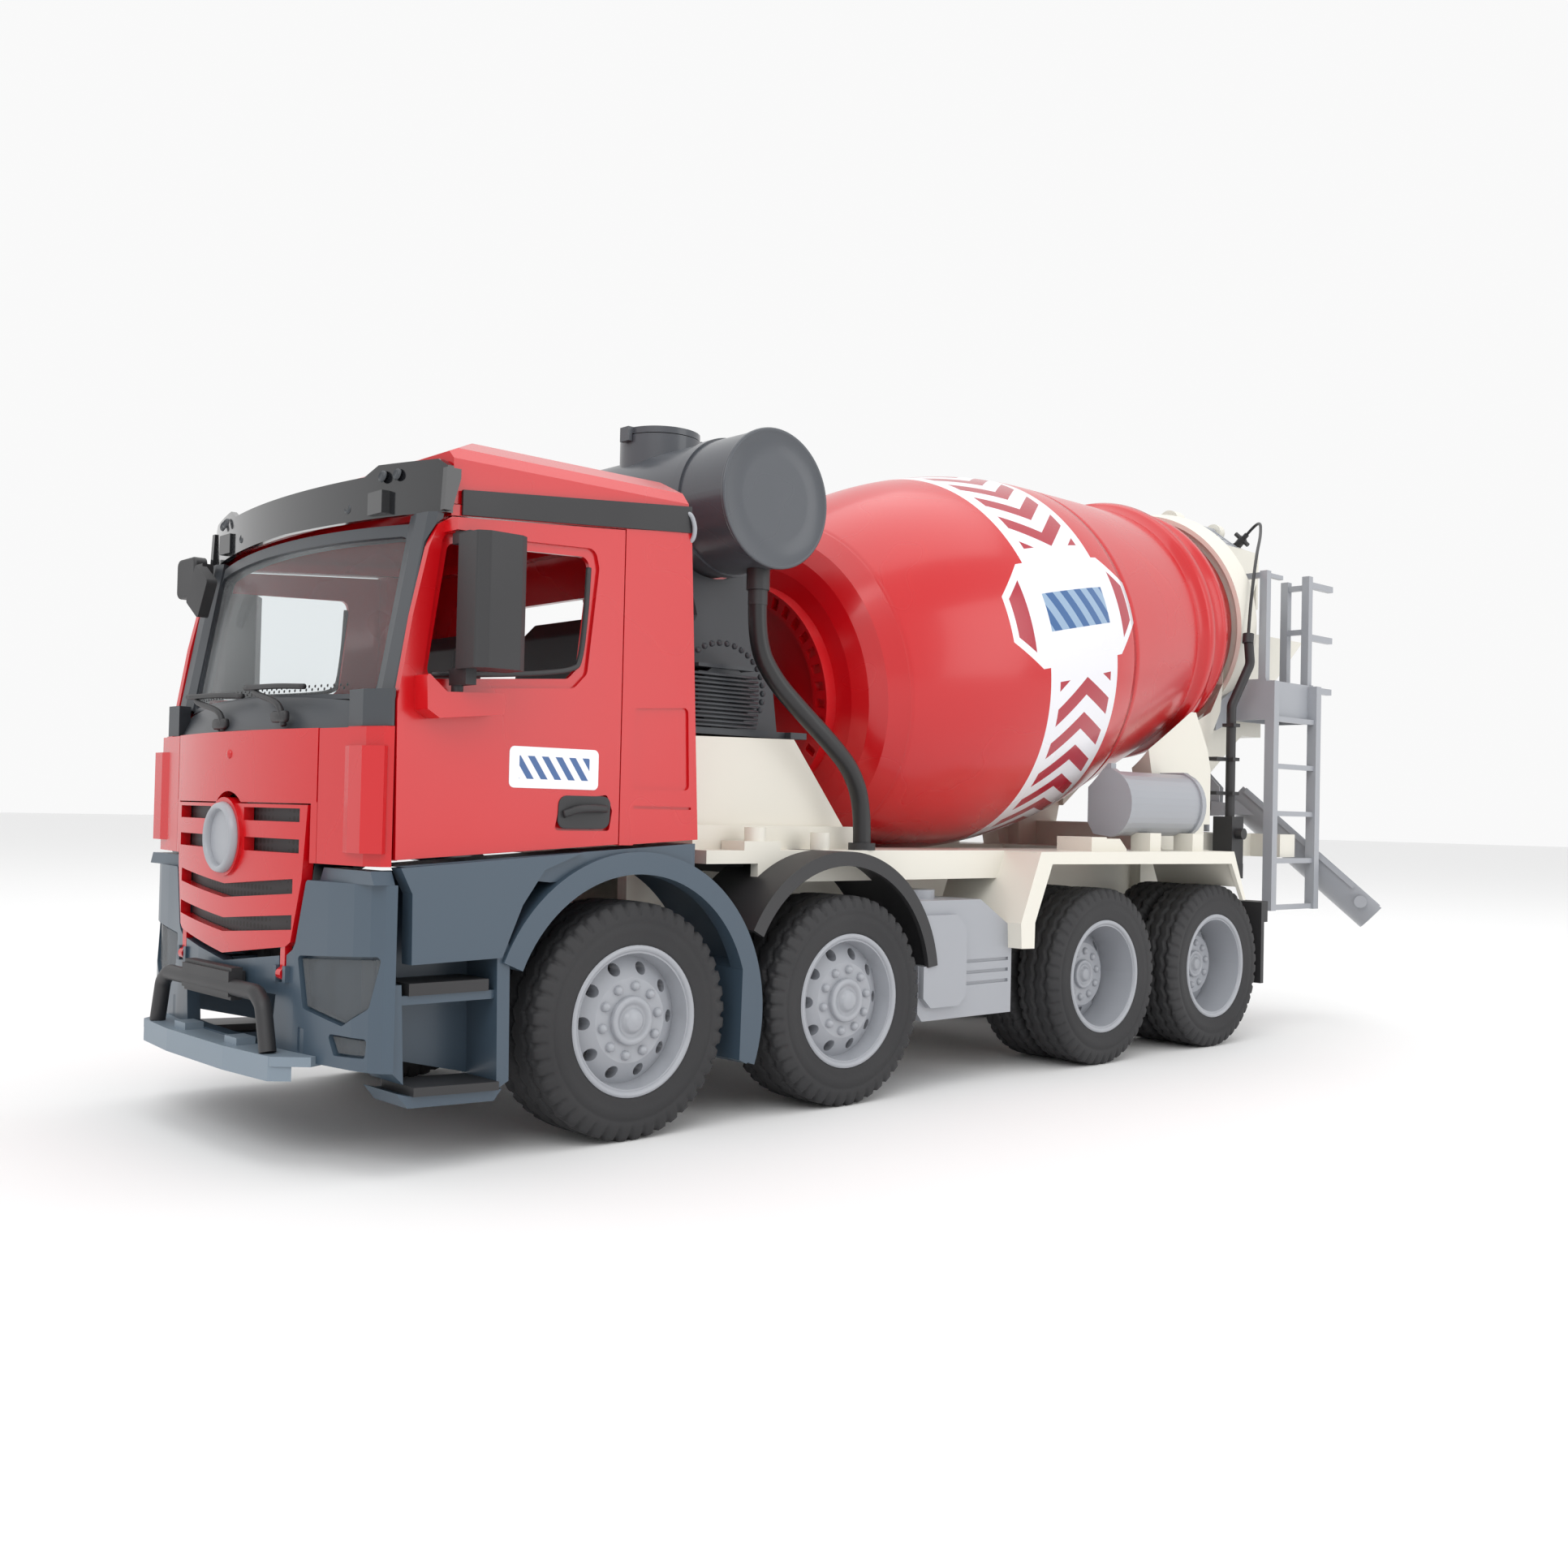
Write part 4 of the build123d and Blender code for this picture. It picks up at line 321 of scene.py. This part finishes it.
def tube(points_mm, radius_mm, sides=12):
    """A round bar along a smooth line through points: line station by angle grid."""
    p = np.array(points_mm, float)
    p = np.concatenate([[2 * p[0] - p[1]], p, [2 * p[-1] - p[-2]]])
    line = []
    for k in range(1, len(p) - 2):
        for t in np.linspace(0, 1, 8, endpoint=False):
            line.append(0.5 * ((2 * p[k]) + (p[k + 1] - p[k - 1]) * t
                               + (2 * p[k - 1] - 5 * p[k] + 4 * p[k + 1] - p[k + 2]) * t ** 2
                               + (3 * p[k] - p[k - 1] - 3 * p[k + 1] + p[k + 2]) * t ** 3))
    line.append(p[-2])
    line = np.array(line)
    along = np.gradient(line, axis=0)
    along /= np.linalg.norm(along, axis=1)[:, None]
    side = np.cross(along, (0.13, 0.21, 0.97))
    side /= np.linalg.norm(side, axis=1)[:, None]
    other = np.cross(along, side)
    a = np.linspace(0, 2 * pi, sides, endpoint=False)
    rings = line[:, None] + radius_mm * (np.cos(a)[None, :, None] * side[:, None]
                                         + np.sin(a)[None, :, None] * other[:, None])
    faces = [tuple(f)[::-1] for f in grid_faces(len(line), sides, wrap_cols=True)]
    faces += [tuple(range(sides)), tuple(range((len(line) - 1) * sides, len(line) * sides))[::-1]]
    faces = [tuple(f)[::-1] for f in faces]
    return rings.reshape(-1, 3), faces


# handles, sills and stickers on both doors
def rounded(width, height, r, steps=5):
    """A rounded rectangle about the origin."""
    pts = []
    for cx, cy, a0 in ((1, 1, 0), (-1, 1, 90), (-1, -1, 180), (1, -1, 270)):
        for k in range(steps + 1):
            a = radians(a0 + 90 * k / steps)
            pts.append((cx * (width / 2 - r) + r * cos(a), cy * (height / 2 - r) + r * sin(a)))
    return pts


sticker_mat = moulded("printed paper sticker", "#EDEDF0", rough=0.3, coat=0.3)
tree = sticker_mat.node_tree
skin = next(n for n in tree.nodes if n.type == "BSDF_PRINCIPLED")
place = add(tree, "ShaderNodeSeparateXYZ", {0: add(tree, "ShaderNodeTexCoord").outputs["Object"]})
along = add(tree, "ShaderNodeMath", {0: place.outputs["Y"], 1: 0.22075}, operation="ADD")
high = add(tree, "ShaderNodeMath", {0: place.outputs["Z"], 1: 0.108}, operation="SUBTRACT")
lean = add(tree, "ShaderNodeMath", {0: high.outputs[0], 1: 0.7, 2: along.outputs[0]}, operation="MULTIPLY_ADD")
wide = add(tree, "ShaderNodeMath", {0: add(tree, "ShaderNodeMath", {0: along.outputs[0]},
                                           operation="ABSOLUTE").outputs[0], 1: 0.0118}, operation="LESS_THAN")
tall = add(tree, "ShaderNodeMath", {0: add(tree, "ShaderNodeMath", {0: high.outputs[0]},
                                           operation="ABSOLUTE").outputs[0], 1: 0.0032}, operation="LESS_THAN")
inside = add(tree, "ShaderNodeMath", {0: wide.outputs[0], 1: tall.outputs[0]}, operation="MULTIPLY")
stripe = add(tree, "ShaderNodeMath", {0: add(tree, "ShaderNodeMath", {0: lean.outputs[0], 1: 0.0046},
                                             operation="FLOORED_MODULO").outputs[0], 1: 0.0023},
             operation="LESS_THAN")
two = add(tree, "ShaderNodeMix", {0: stripe.outputs[0], 6: colour("#23548F"), 7: colour("#E9E9EE")},
          data_type="RGBA")
print_ = add(tree, "ShaderNodeMix", {0: inside.outputs[0], 6: colour("#EDEDF0"), 7: two.outputs[2]},
             data_type="RGBA")
tree.links.new(print_.outputs[2], skin.inputs["Base Color"])

for hand, door in ((1, "door_left_body"), (-1, "door_right_body")):
    x = hand * 75.0
    out = (0, hand, 0)
    sticker = slab("door_sticker", rounded(30, 11.5, 1.6), (x + hand * 0.02, -29.3, 108), out, (0, 0, 1), 0.15,
                   sticker_mat, door, 0.05)
    pocket = slab("handle_pocket", rounded(18, 9.4, 2.6), (x + hand * 0.02, -18.9, 95.8), out, (0, 0.05, 1), 0.35,
                  black, door, 0.15)
    grip = many("door_handle", [tube([(x + hand * 0.3, -26.2, 95.2), (x + hand * 1.5, -22, 96.6),
                                      (x + hand * 1.8, -17, 97.0), (x + hand * 1.0, -12, 96.9)], 1.15)], black, door)
    sill = many("door_sill", [tube([(x - hand * 0.6, -68.8, 131.4), (x - hand * 0.2, -50, 132.9),
                                    (x - hand * 0.2, -34, 134.6), (x - hand * 0.4, -24, 136.6),
                                    (x - hand * 0.6, -21.2, 140), (x - hand * 0.7, -19.6, 152),
                                    (x - hand * 0.8, -18.8, 166)], 0.8)], black, door)
    sun = [(hand * 77.0, -62.0, 126.0), (hand * 77.8, -62.4, 124.0)]

# wipers, washer boss and screen dots
arms = []
for x0, x1, foot in ((30, 8, 120.0), (-10, -34, 119.0)):
    arms.append(tube([(x0, -88.6, foot - 2), (x0 - 3, -89.2, foot + 4), (x1 + 4, -88.4, foot + 7.5),
                      (x1, -87.4, foot + 9)], 0.9))
    arms.append(tube([(x0 + 8, -86.8, foot + 8.6), (x0 - 6, -88.2, foot + 9.2), (x1 - 4, -88.6, foot + 9.6)], 0.8))
    arms.append(slab("", rounded(9, 3.2, 1.2), (x0 - 2, -88.2, foot + 0.5), (1, 0, 0), (0, 0, 1), 1.6, None, None,
                     0.4, extra=True))
wipers = many("wipers", arms, black, "cab")
boss = lathe("bonnet_boss", [(0, 1.5), (0.7, 1.4), (1.1, 0.9), (1.2, 0.02)], (0, -90.6, 110.4), (0, -1, 0), red, "cab",
             20)
dots = many("screen_dots", [lathe("", [(0, 0.45), (0.15, 0.4), (0.2, 0.02)],
                                  (x, -84.6 + x * x / 544, 128.2 + (k % 2) * 0.9), (0, -1, 0.1), None, None, 8,
                                  extra=True)
                            for k, x in enumerate(np.linspace(-50, 50, 70))], black, "cab")

# generic badge: a plain ring round a turned disc
BADGE_Z = 86.3
ring = lathe("badge_ring", [(0, 8.0), (1.4, 8.1), (2.0, 8.6), (2.1, 9.2), (1.6, 9.9), (0.4, 10.3), (-0.6, 10.3),
                            (-0.6, 8.0)], (0, -92.4, BADGE_Z), (0, -1, 0), silver, "cab", 72)
dress("badge_disc", silver, 0.2)

# roof: silver loop behind the cab and visor bolts
loop = many("roof_loop", [tube([(70, 14, 183), (72.6, 15.5, 186.5), (75.4, 17.2, 186.6), (76.2, 18.4, 183.0),
                                (75.4, 18.6, 179.6), (73.4, 18, 178)], 0.7)], silver, "cab")
bolts = []
for hand in (1, -1):
    for x, y, z in ((35.4, -73.6, 179.6), (52.0, -72.2, 186.6), (57.5, -70.8, 186.6)):
        bolts.append(lathe("", [(0, 1.7), (0.6, 1.6), (0.9, 1.1), (0.6, 0.9), (0.6, 0.02)], (hand * x, y, z),
                           (0, -1, 0.25), None, None, 18, extra=True))
bolts = many("visor_bolts", bolts, charcoal, "cab")

# ---- tank, bracket and motor --------------------------------------------------------------
# A dark grey water tank snapped together from two halves, on a dark bracket in front of the
# drum, with a finned pump motor bolted to its side inside a beaded ring.
tank_grey = moulded("tank grey ABS", "#4A4E54", rough=0.3, grain_mm=0.4, relief=0.03, tone=0.05, coat=0.15)
for node, mat in (("water_tank_upper", tank_grey), ("water_tank_lower", tank_grey), ("tank_lid", tank_grey),
                  ("tank_bracket", charcoal), ("pump_motor", charcoal), ("hose_fittings", black)):
    dress(node, mat)
fins = []
for k in range(13):
    z = 125.8 + k * 1.42
    half = 20 * (1 - ((z - 134.6) / 13) ** 4) ** 0.25 if abs(z - 134.6) < 13 else 3
    fins.append(slab("", [(-half * 0.75, -0.4), (half * 0.75, -0.4), (half * 0.75, 0.4), (-half * 0.75, 0.4)],
                     (42.0, 60, z), (0, 1, 0), (0, 0, 1), 2.0, None, None, 0.2, extra=True))
beads = [lathe("", [(0, 1.1), (0.7, 1.0), (1.1, 0.6), (1.25, 0.02)],
               (41.8, 60 + 18.3 * sin(a), 138.0 + 15.8 * cos(a)), (1, 0, 0), None, None, 10, extra=True)
         for a in np.linspace(-pi * 0.62, pi * 0.62, 22)]
fins = many("motor_fins", fins + beads, charcoal, "chassis")
for hand in (1, -1):
    rim = lathe(f"tank_end_{'left' if hand > 0 else 'right'}",
                [(-0.4, 22.9), (0.2, 23.3), (0.9, 23.3), (1.3, 22.9), (1.3, 22.2), (0.9, 21.8), (0.75, 14.0), (0.7, 0.02)],
                (hand * 61.6, 64, 200.6), (hand, 0, 0), tank_grey, "chassis", 96)

# ---- drum ---------------------------------------------------------------------------------
# The drum is moulded in red ABS halves that meet on a fine seam; a printed vinyl band wraps it,
# with arrows that run to a six-sided panel on each side.
TILT, FOOT_Z_MM, SKIN_MM = radians(11.13), 121.33, 2.2
AXIS = np.array([0.0, cos(TILT), sin(TILT)])
BAND_MID_MM, BAND_HALF_MM, PANEL_ANGLE = 221.0, 23.0, radians(12.0)


def skin_radius(s):
    """The barrel's radius: swelling to 77 mm at the widest ring, then a cone to the neck."""
    if s <= 214:
        return 77.0 - 15.2 * ((214 - s) / (214 - 133.7)) ** 2.1
    if s <= 262:
        return 77.0 - 5.0 * ((s - 214) / 48) ** 2
    return 72.0 - (s - 262) * 17.0 / 88


def drum_skin(name, outer, inner, mat, node):
    """A turned wall from (station, radius) pairs: angle by profile, its UV in millimetres."""
    profile = outer + inner[::-1]
    turns = 192
    a = np.linspace(0, 2 * pi, turns + 1)
    up = np.array([0.0, -sin(TILT), cos(TILT)])
    s = np.array([p[0] for p in profile])
    r = np.array([p[1] for p in profile])
    ring = np.cos(a)[:, None] * np.array([1.0, 0, 0]) + np.sin(a)[:, None] * up
    pts = np.array([0, 0, FOOT_Z_MM]) + s[None, :, None] * AXIS + r[None, :, None] * ring[:, None, :]
    pts = pts[:-1]
    faces = grid_faces(turns, len(profile), wrap_rows=True, wrap_cols=True)
    piece = mesh_piece(name, row(pts.reshape(-1, 3)), faces, mat, "drum")
    uv = piece.data.uv_layers.new(name="wrap")
    n = len(profile)
    quad_i = np.arange(turns)[:, None, None] + np.array([0, 0, 1, 1])[None, None, :]
    quad_j = (np.arange(n)[None, :, None] + np.array([0, 1, 1, 0])[None, None, :]) % n
    u = a[quad_i + 0 * quad_j] * 76.0
    v = s[quad_j + 0 * quad_i]
    uv.data.foreach_set("uv", np.stack([u, v], -1).reshape(-1))
    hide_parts(node)
    return piece


vinyl = moulded("red ABS drum with a printed vinyl band", "#C40410", rough=0.27, relief=0.02, tone=0.04, coat=0.35)
tree = vinyl.node_tree
skin = next(n for n in tree.nodes if n.type == "BSDF_PRINCIPLED")
base = skin.inputs["Base Color"].links[0].from_socket


def calc(op, a, b=0.0, c=0.0, clamp=False):
    """One step of arithmetic in the drum's shader."""
    return add(tree, "ShaderNodeMath", {0: a, 1: b, 2: c}, operation=op, use_clamp=clamp).outputs[0]


wrap = add(tree, "ShaderNodeSeparateXYZ", {0: add(tree, "ShaderNodeUVMap", uv_map="wrap").outputs[0]})
HALF_TURN_MM = pi * 76.0
round_mm = calc("SUBTRACT", calc("FLOORED_MODULO", calc("ADD", wrap.outputs["X"], HALF_TURN_MM / 2 - PANEL_ANGLE * 76),
                                 HALF_TURN_MM), HALF_TURN_MM / 2)
across_mm = calc("SUBTRACT", wrap.outputs["Y"], BAND_MID_MM)
t, w = calc("ABSOLUTE", round_mm), calc("ABSOLUTE", across_mm)
band = calc("LESS_THAN", w, BAND_HALF_MM)
phase = calc("DIVIDE", calc("SUBTRACT", calc("SUBTRACT", t, 27.0), calc("MULTIPLY", w, 0.62)), 14.0)
arrow = calc("LESS_THAN", calc("FLOORED_MODULO", phase, 1.0), 0.5)
arrow = calc("MULTIPLY", arrow, calc("MULTIPLY", calc("LESS_THAN", w, 17.5), calc("GREATER_THAN", t, 27.0)))
panel = calc("MULTIPLY", calc("LESS_THAN", w, 41.0),
             calc("LESS_THAN", calc("ADD", t, calc("MULTIPLY", calc("MAXIMUM", calc("SUBTRACT", w, 27.0), 0.0), 0.85)),
                  21.0))
ends = calc("MULTIPLY", calc("GREATER_THAN", w, 30.0), calc("LESS_THAN", w, 38.0))
ends = calc("MULTIPLY", ends, calc("LESS_THAN", calc("ADD", t, calc("MULTIPLY", calc("SUBTRACT", w, 27.0), 0.85)), 17.0))
block = calc("MULTIPLY", calc("LESS_THAN", w, 20.0), calc("LESS_THAN", t, 7.5))
split = calc("LESS_THAN", calc("FLOORED_MODULO", calc("ADD", across_mm, calc("MULTIPLY", round_mm, 0.6)), 9.0), 4.5)
white = calc("MAXIMUM", band, panel)
crimson = calc("MULTIPLY", calc("MAXIMUM", calc("MULTIPLY", arrow, calc("SUBTRACT", 1.0, panel)),
                                calc("MULTIPLY", ends, panel)), white)
m1 = add(tree, "ShaderNodeMix", {0: white, 6: base, 7: colour("#E7E7EC")}, data_type="RGBA").outputs[2]
m2 = add(tree, "ShaderNodeMix", {0: crimson, 6: m1, 7: colour("#A8102A")}, data_type="RGBA").outputs[2]
blue = add(tree, "ShaderNodeMix", {0: split, 6: colour("#2B5C93"), 7: colour("#8FA9C4")}, data_type="RGBA").outputs[2]
m3 = add(tree, "ShaderNodeMix", {0: calc("MULTIPLY", block, panel), 6: m2, 7: blue}, data_type="RGBA").outputs[2]
tree.links.new(m3, skin.inputs["Base Color"])

stations = [133.6, 134.2, 134.8] + list(np.linspace(136, 262, 43))
outer = [(s, skin_radius(s) - (0.35 if abs(s - 134.2) < 0.1 else 0.0)) for s in stations]
inner = [(s, skin_radius(s) - SKIN_MM) for s in np.linspace(133.6, 262, 22)]
drum_skin("drum_barrel_skin", outer, inner, vinyl, "drum_barrel")
rear = [(262.0, 72.0), (262.6, 71.5), (263.2, 71.8)] + [(s, skin_radius(s)) for s in np.linspace(266, 334, 18)]
rear += [(336, 60.6), (337.2, 61.2), (341, 61.4), (341.8, 60.8), (344, 56.4), (352, 54.8), (356, 56.4), (356.6, 56.8),
         (360, 56.4), (360.8, 55.4), (362, 51.8), (363, 51.2), (376.2, 48.8), (376.4, 48.2)]
rear_in = [(262.0, 69.8), (334.0, skin_radius(334) - 2.2), (350, 52.0), (362, 48.6), (376.4, 45.0)]
drum_skin("drum_rear_skin", rear, rear_in, red, "drum_rear")
dress("drum_front", red, 0.3)

# ---- rear gear ----------------------------------------------------------------------------
# Cream hopper and funnel behind the collar, silver platform, rails, ladder and chute, and a
# black washing pipe clipped to the stand.
for node, mat in (("hopper", cream), ("hopper_grate", silver), ("discharge_funnel", cream),
                  ("platform_and_ladder", silver), ("chute_head", silver), ("chute_trough", silver),
                  ("spray_pipe", black), ("spray_nozzle", black)):
    dress(node, mat)


# ---- hoses --------------------------------------------------------------------------------
# Two soft black PVC hoses: a thick one from the tank's outlet down to the deck, and a thin one
# from the washing pipe up to the hand nozzle.
def hose(name, route_mm, diameter_mm, mat):
    """A hose drawn as a NURBS line through the control points of its route."""
    curve = bpy.data.curves.new(name, "CURVE")
    curve.dimensions = "3D"
    curve.bevel_depth = diameter_mm * 0.0005
    curve.bevel_resolution = 6
    curve.resolution_u = 24
    curve.use_fill_caps = True
    line = curve.splines.new("NURBS")
    line.points.add(len(route_mm) - 1)
    for point, place_m in zip(line.points, row(route_mm)):
        point.co = (*place_m, 1.0)
    line.order_u = 3
    line.use_endpoint_u = True
    curve.materials.append(mat)
    piece = bpy.data.objects.new(name, curve)
    bpy.context.scene.collection.objects.link(piece)
    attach(piece, "chassis")
    return piece


hose_mat = moulded("black soft PVC hose", "#1E1E20", rough=0.38, grain_mm=0.3, relief=0.04)
HOSE_MM = [(54.5, 64.0, 166.0), (54.5, 64.0, 153.0), (56.2, 70.5, 141.5), (58.8, 81.0, 131.5),
           (60.6, 93.5, 121.3), (59.6, 105.5, 112.0), (57.6, 113.0, 99.5), (57.6, 113.0, 87.0)]
SPRAY_MM = [(56.4, 372.0, 186.0), (56.0, 373.8, 197.2), (54.8, 377.6, 208.0), (51.6, 385.0, 219.3),
            (46.8, 395.5, 229.8), (41.0, 407.6, 237.4), (33.9, 420.7, 243.9), (29.3, 428.3, 250.3),
            (24.2, 431.4, 249.8), (20.0, 431.4, 245.8)]
for name, route, wide_mm, far in (("water_hose", HOSE_MM, 6.4, "object"), ("spray_hose", SPRAY_MM, 1.5, "tool")):
    piece = hose(name + "_line", route, wide_mm, hose_mat)
    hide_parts(name)

# ---- floor, light and camera --------------------------------------------------------------
# A flat white floor under two large soft lights and a third low one, and a lens a little longer
# than normal, low down at the cab's corner.
floor_mat = bpy.data.materials.new("white sweep")
floor_mat.use_nodes = True
floor_mat.node_tree.nodes["Principled BSDF"].inputs["Base Color"].default_value = (0.86, 0.86, 0.86, 1)
floor_mat.node_tree.nodes["Principled BSDF"].inputs["Roughness"].default_value = 0.8
mesh = bpy.data.meshes.new("floor")
mesh.from_pydata([(-9, -9, 0), (9, -9, 0), (9, 9, 0), (-9, 9, 0)], [], [(0, 1, 2, 3)])
mesh.materials.append(floor_mat)
floor = bpy.data.objects.new("floor", mesh)
bpy.context.scene.collection.objects.link(floor)

world = bpy.data.worlds.new("studio")
bpy.context.scene.world = world
bpy.context.scene.view_settings.view_transform = "Standard"
world.use_nodes = True
world.node_tree.nodes["Background"].inputs["Color"].default_value = (1, 1, 1, 1)
world.node_tree.nodes["Background"].inputs["Strength"].default_value = 0.95


def soft_light(name, place_m, aim_m, size_m, watts):
    """A square soft box that faces its aim."""
    data = bpy.data.lights.new(name, "AREA")
    data.shape = "RECTANGLE"
    data.size, data.size_y = size_m
    data.energy = watts
    lamp = bpy.data.objects.new(name, data)
    lamp.location = place_m
    lamp.rotation_euler = (Vector(aim_m) - Vector(place_m)).to_track_quat("-Z", "Y").to_euler()
    bpy.context.scene.collection.objects.link(lamp)
    return lamp


soft_light("key", (0.9, -1.3, 1.3), (0, 0, 0.1), (1.2, 1.0), 9)
soft_light("top", (0.0, 0.1, 1.6), (0, 0, 0.1), (1.6, 1.6), 8)
soft_light("side", (1.6, 0.7, 0.6), (0, 0.05, 0.12), (0.8, 1.2), 4)

AZIMUTH, RISE, ROLL = radians(47.134), radians(-1.096), radians(1.2825)
back = Vector((sin(AZIMUTH) * cos(RISE), -cos(AZIMUTH) * cos(RISE), sin(RISE)))
right = Vector((cos(AZIMUTH), sin(AZIMUTH), 0))
above = back.cross(right)
turned_right = cos(ROLL) * right + sin(ROLL) * above
turned_above = -sin(ROLL) * right + cos(ROLL) * above
lens = bpy.data.cameras.new("camera")
lens.sensor_width = 36.0
lens.lens = 34.93
lens.clip_start = 0.01
camera = bpy.data.objects.new("camera", lens)
matrix = Matrix((turned_right, turned_above, back)).transposed().to_4x4()
matrix.translation = Vector(row((432.39, -272.92, 96.89)))
camera.matrix_world = matrix
bpy.context.scene.collection.objects.link(camera)
bpy.context.scene.camera = camera
